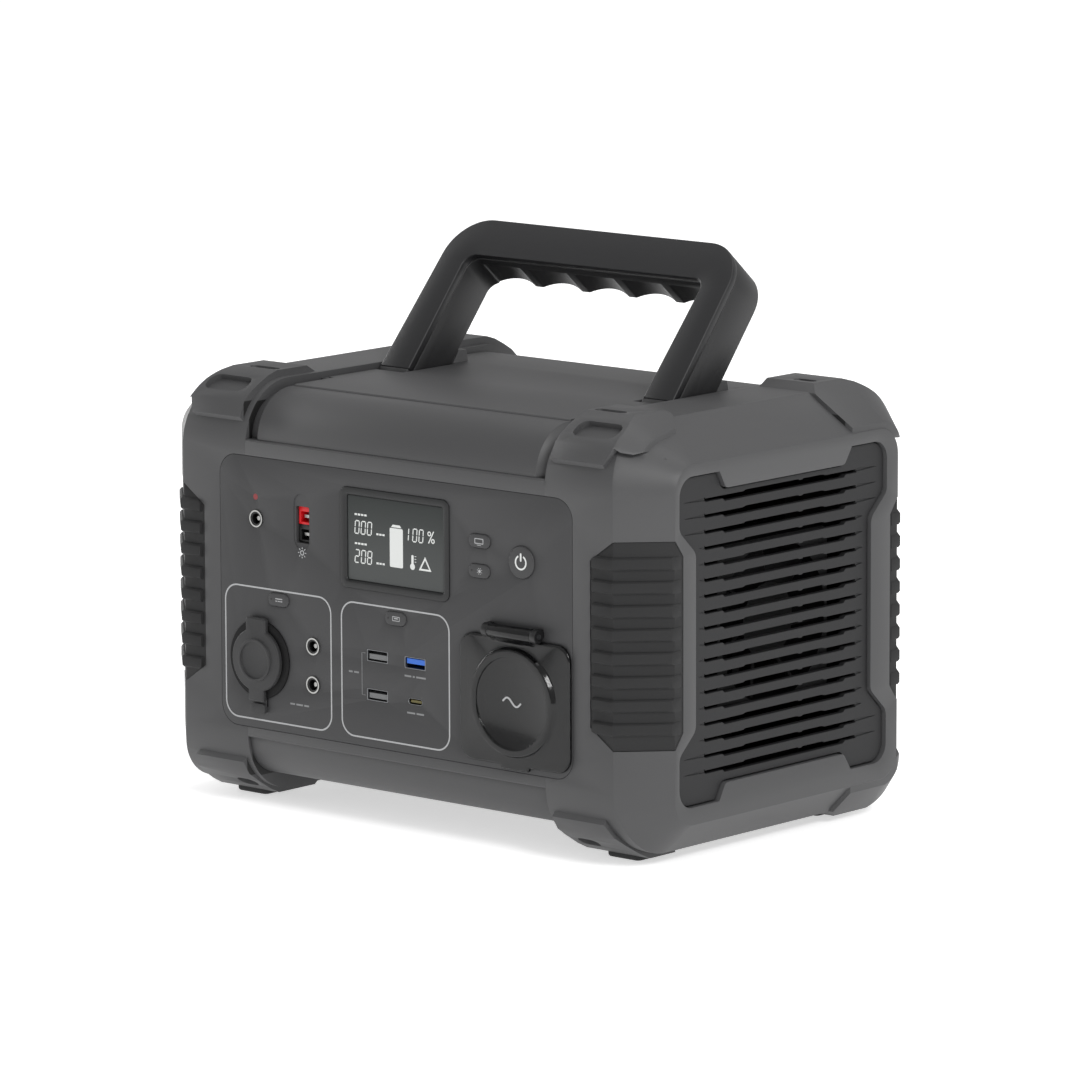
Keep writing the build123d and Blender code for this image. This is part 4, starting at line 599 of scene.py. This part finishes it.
def draw_power_symbol():
    x, z, face = key_face("power_button")
    mark = Mark(face - KEY_PROUD, face + KEY_ROOT)
    outer, inner = (arc(x, z, radius, steps=44, start=118, end=422) for radius in (3.55, 2.75))
    mark.plate(outer + list(reversed(inner)))
    mark.plate(rounded_rect(x, z + 2.4, width=0.95, height=3.9, radius=0.4, steps=4))
    mark.build("power_symbol", "lcd_segment", "power_key")


def draw_screen(mark, x, z):
    mark.frame(x, z, 5.4, 2.6, line=0.4, radius=0.4, inner_radius=0.2, steps=4)
    mark.bar(x - 1.2, z - 2.0, width=2.4, height=0.3)


def draw_lamp(mark, x, z):
    mark.plate(arc(x + 0.6, z, radius=0.75, steps=24))
    mark.rays(x + 0.6, z, inner=1.15, outer=1.65, width=0.3, start=22.5)


def draw_dc(mark, x, z):
    """A solid line over a dashed one."""
    mark.bar(x - 1.6, z + 0.35, width=4.4, height=0.45)
    mark.bar_row(x - 1.6, z - 0.8, [1.2] * 3, height=0.45, gap=0.4)


def draw_port(mark, x, z):
    mark.frame(x + 0.6, z, 4.6, 2.2, line=0.3, radius=0.3, inner_radius=0.15, steps=4)
    mark.bar(x - 0.6, z - 0.1, width=2.4, height=0.5)


draw_power_symbol()
# key piece, body it rides, kind of mark, drawing, whether it has a lamp at its left
for piece, body, kind, draw, has_lamp in (
    ("display_button", "display_key", "screen", draw_screen, False),
    ("light_button", "light_key", "lamp", draw_lamp, True),
    ("dc_button", "dc_key", "dc", draw_dc, True),
    ("usb_button", "usb_key", "port", draw_port, True),
):
    x, z, face = key_face(piece)
    mark = Mark(face - KEY_PROUD, face + KEY_ROOT)
    draw(mark, x, z)
    mark.build(kind + "_key_mark", "printed_line", body)
    if has_lamp:
        lamp = Mark(face - LAMP_PROUD, face + KEY_ROOT)
        lamp.plate(arc(x - 4.3, z + 0.1, radius=0.5, steps=20))
        lamp.build(kind + "_key_lamp", "black_satin", body)


def draw_wave(middle_z=-31.9, length=11.0, swing=1.9, steps=40):
    """One sine wave on the outlet cover."""
    middle_x = key_face("ac_cover")[0]
    mark = Mark(-3.56, -3.36)
    mark.stroke([(middle_x + (i / steps - 0.5) * length,
                  middle_z + swing * math.sin(i / steps * 2 * math.pi))
                 for i in range(steps + 1)], width=0.85)
    mark.build("wave_mark", "printed_line", "ac_flap")


draw_wave()

# ------------------------------------------------------------------ stage, light, camera


def add_floor(size=6.0, clearance=0.0002):
    mesh = bpy.data.meshes.new("floor")
    bm = bmesh.new()
    bmesh.ops.create_grid(bm, x_segments=1, y_segments=1, size=size)
    bm.to_mesh(mesh)
    bm.free()
    floor = bpy.data.objects.new("floor", mesh)
    floor.location = (0, 0, cad_box[0].z - clearance)
    bpy.context.scene.collection.objects.link(floor)
    mesh.materials.append(make_material(
        "floor_paper", "f4f4f4", rough=0.9, grain=60, depth=0, variation=0.01,
        spec=0.1, emit=0.62))


def add_world(strength):
    world = bpy.data.worlds.new("studio")
    world.use_nodes = True
    background = world.node_tree.nodes["Background"]
    background.inputs["Color"].default_value = (1, 1, 1, 1)
    background.inputs["Strength"].default_value = strength
    bpy.context.scene.world = world


def add_area_light(name, location, target, size, power):
    light = bpy.data.lights.new(name, "AREA")
    light.energy = power
    light.size = size
    lamp = bpy.data.objects.new(name, light)
    bpy.context.scene.collection.objects.link(lamp)
    lamp.location = location
    lamp.rotation_mode = "QUATERNION"
    lamp.rotation_quaternion = (Vector(target) - Vector(location)).to_track_quat("-Z", "Y")


def add_camera(turn, rise, roll, offset, lens):
    """Angles in degrees: turn from the front towards +X, height above level, and roll.

    offset is from the centre of the panel's face.
    """
    turn, rise, roll = (math.radians(angle) for angle in (turn, rise, roll))
    level = Vector((math.cos(turn), math.sin(turn), 0))
    upright = Vector((-math.sin(turn) * math.sin(rise), math.cos(turn) * math.sin(rise),
                      math.cos(rise)))
    backward = Vector((math.sin(turn) * math.cos(rise), -math.cos(turn) * math.cos(rise),
                       math.sin(rise)))
    right = level * math.cos(roll) + upright * math.sin(roll)
    up = -level * math.sin(roll) + upright * math.cos(roll)
    data = bpy.data.cameras.new("camera")
    data.lens = lens
    data.sensor_width = 36.0
    data.clip_start = 0.05
    data.clip_end = 60
    camera = bpy.data.objects.new("camera", data)
    bpy.context.scene.collection.objects.link(camera)
    pose = Matrix((right, up, backward)).transposed().to_4x4()
    x, y, z = offset
    pose.translation = Vector((PANEL_X + x, PANEL_Y + y, PANEL_Z + z))
    camera.matrix_world = pose
    bpy.context.scene.camera = camera


add_floor()
add_world(strength=0.56)
bpy.context.scene.view_settings.view_transform = "Standard"
add_area_light("key", location=(2.15, -0.80, 1.75), target=(0, 0, 0.12), size=0.9, power=36)
add_area_light("top_soft", location=(0.1, 0.5, 2.2), target=(0, 0, 0.1), size=1.6, power=12)
add_area_light("rim_left", location=(-2.4, 0.15, 0.55), target=(-0.15, -0.05, 0.12),
               size=0.9, power=20)
add_camera(turn=41.02, rise=9.661, roll=-0.193, offset=(2.185254, -2.407878, 0.587969),
           lens=236.95)
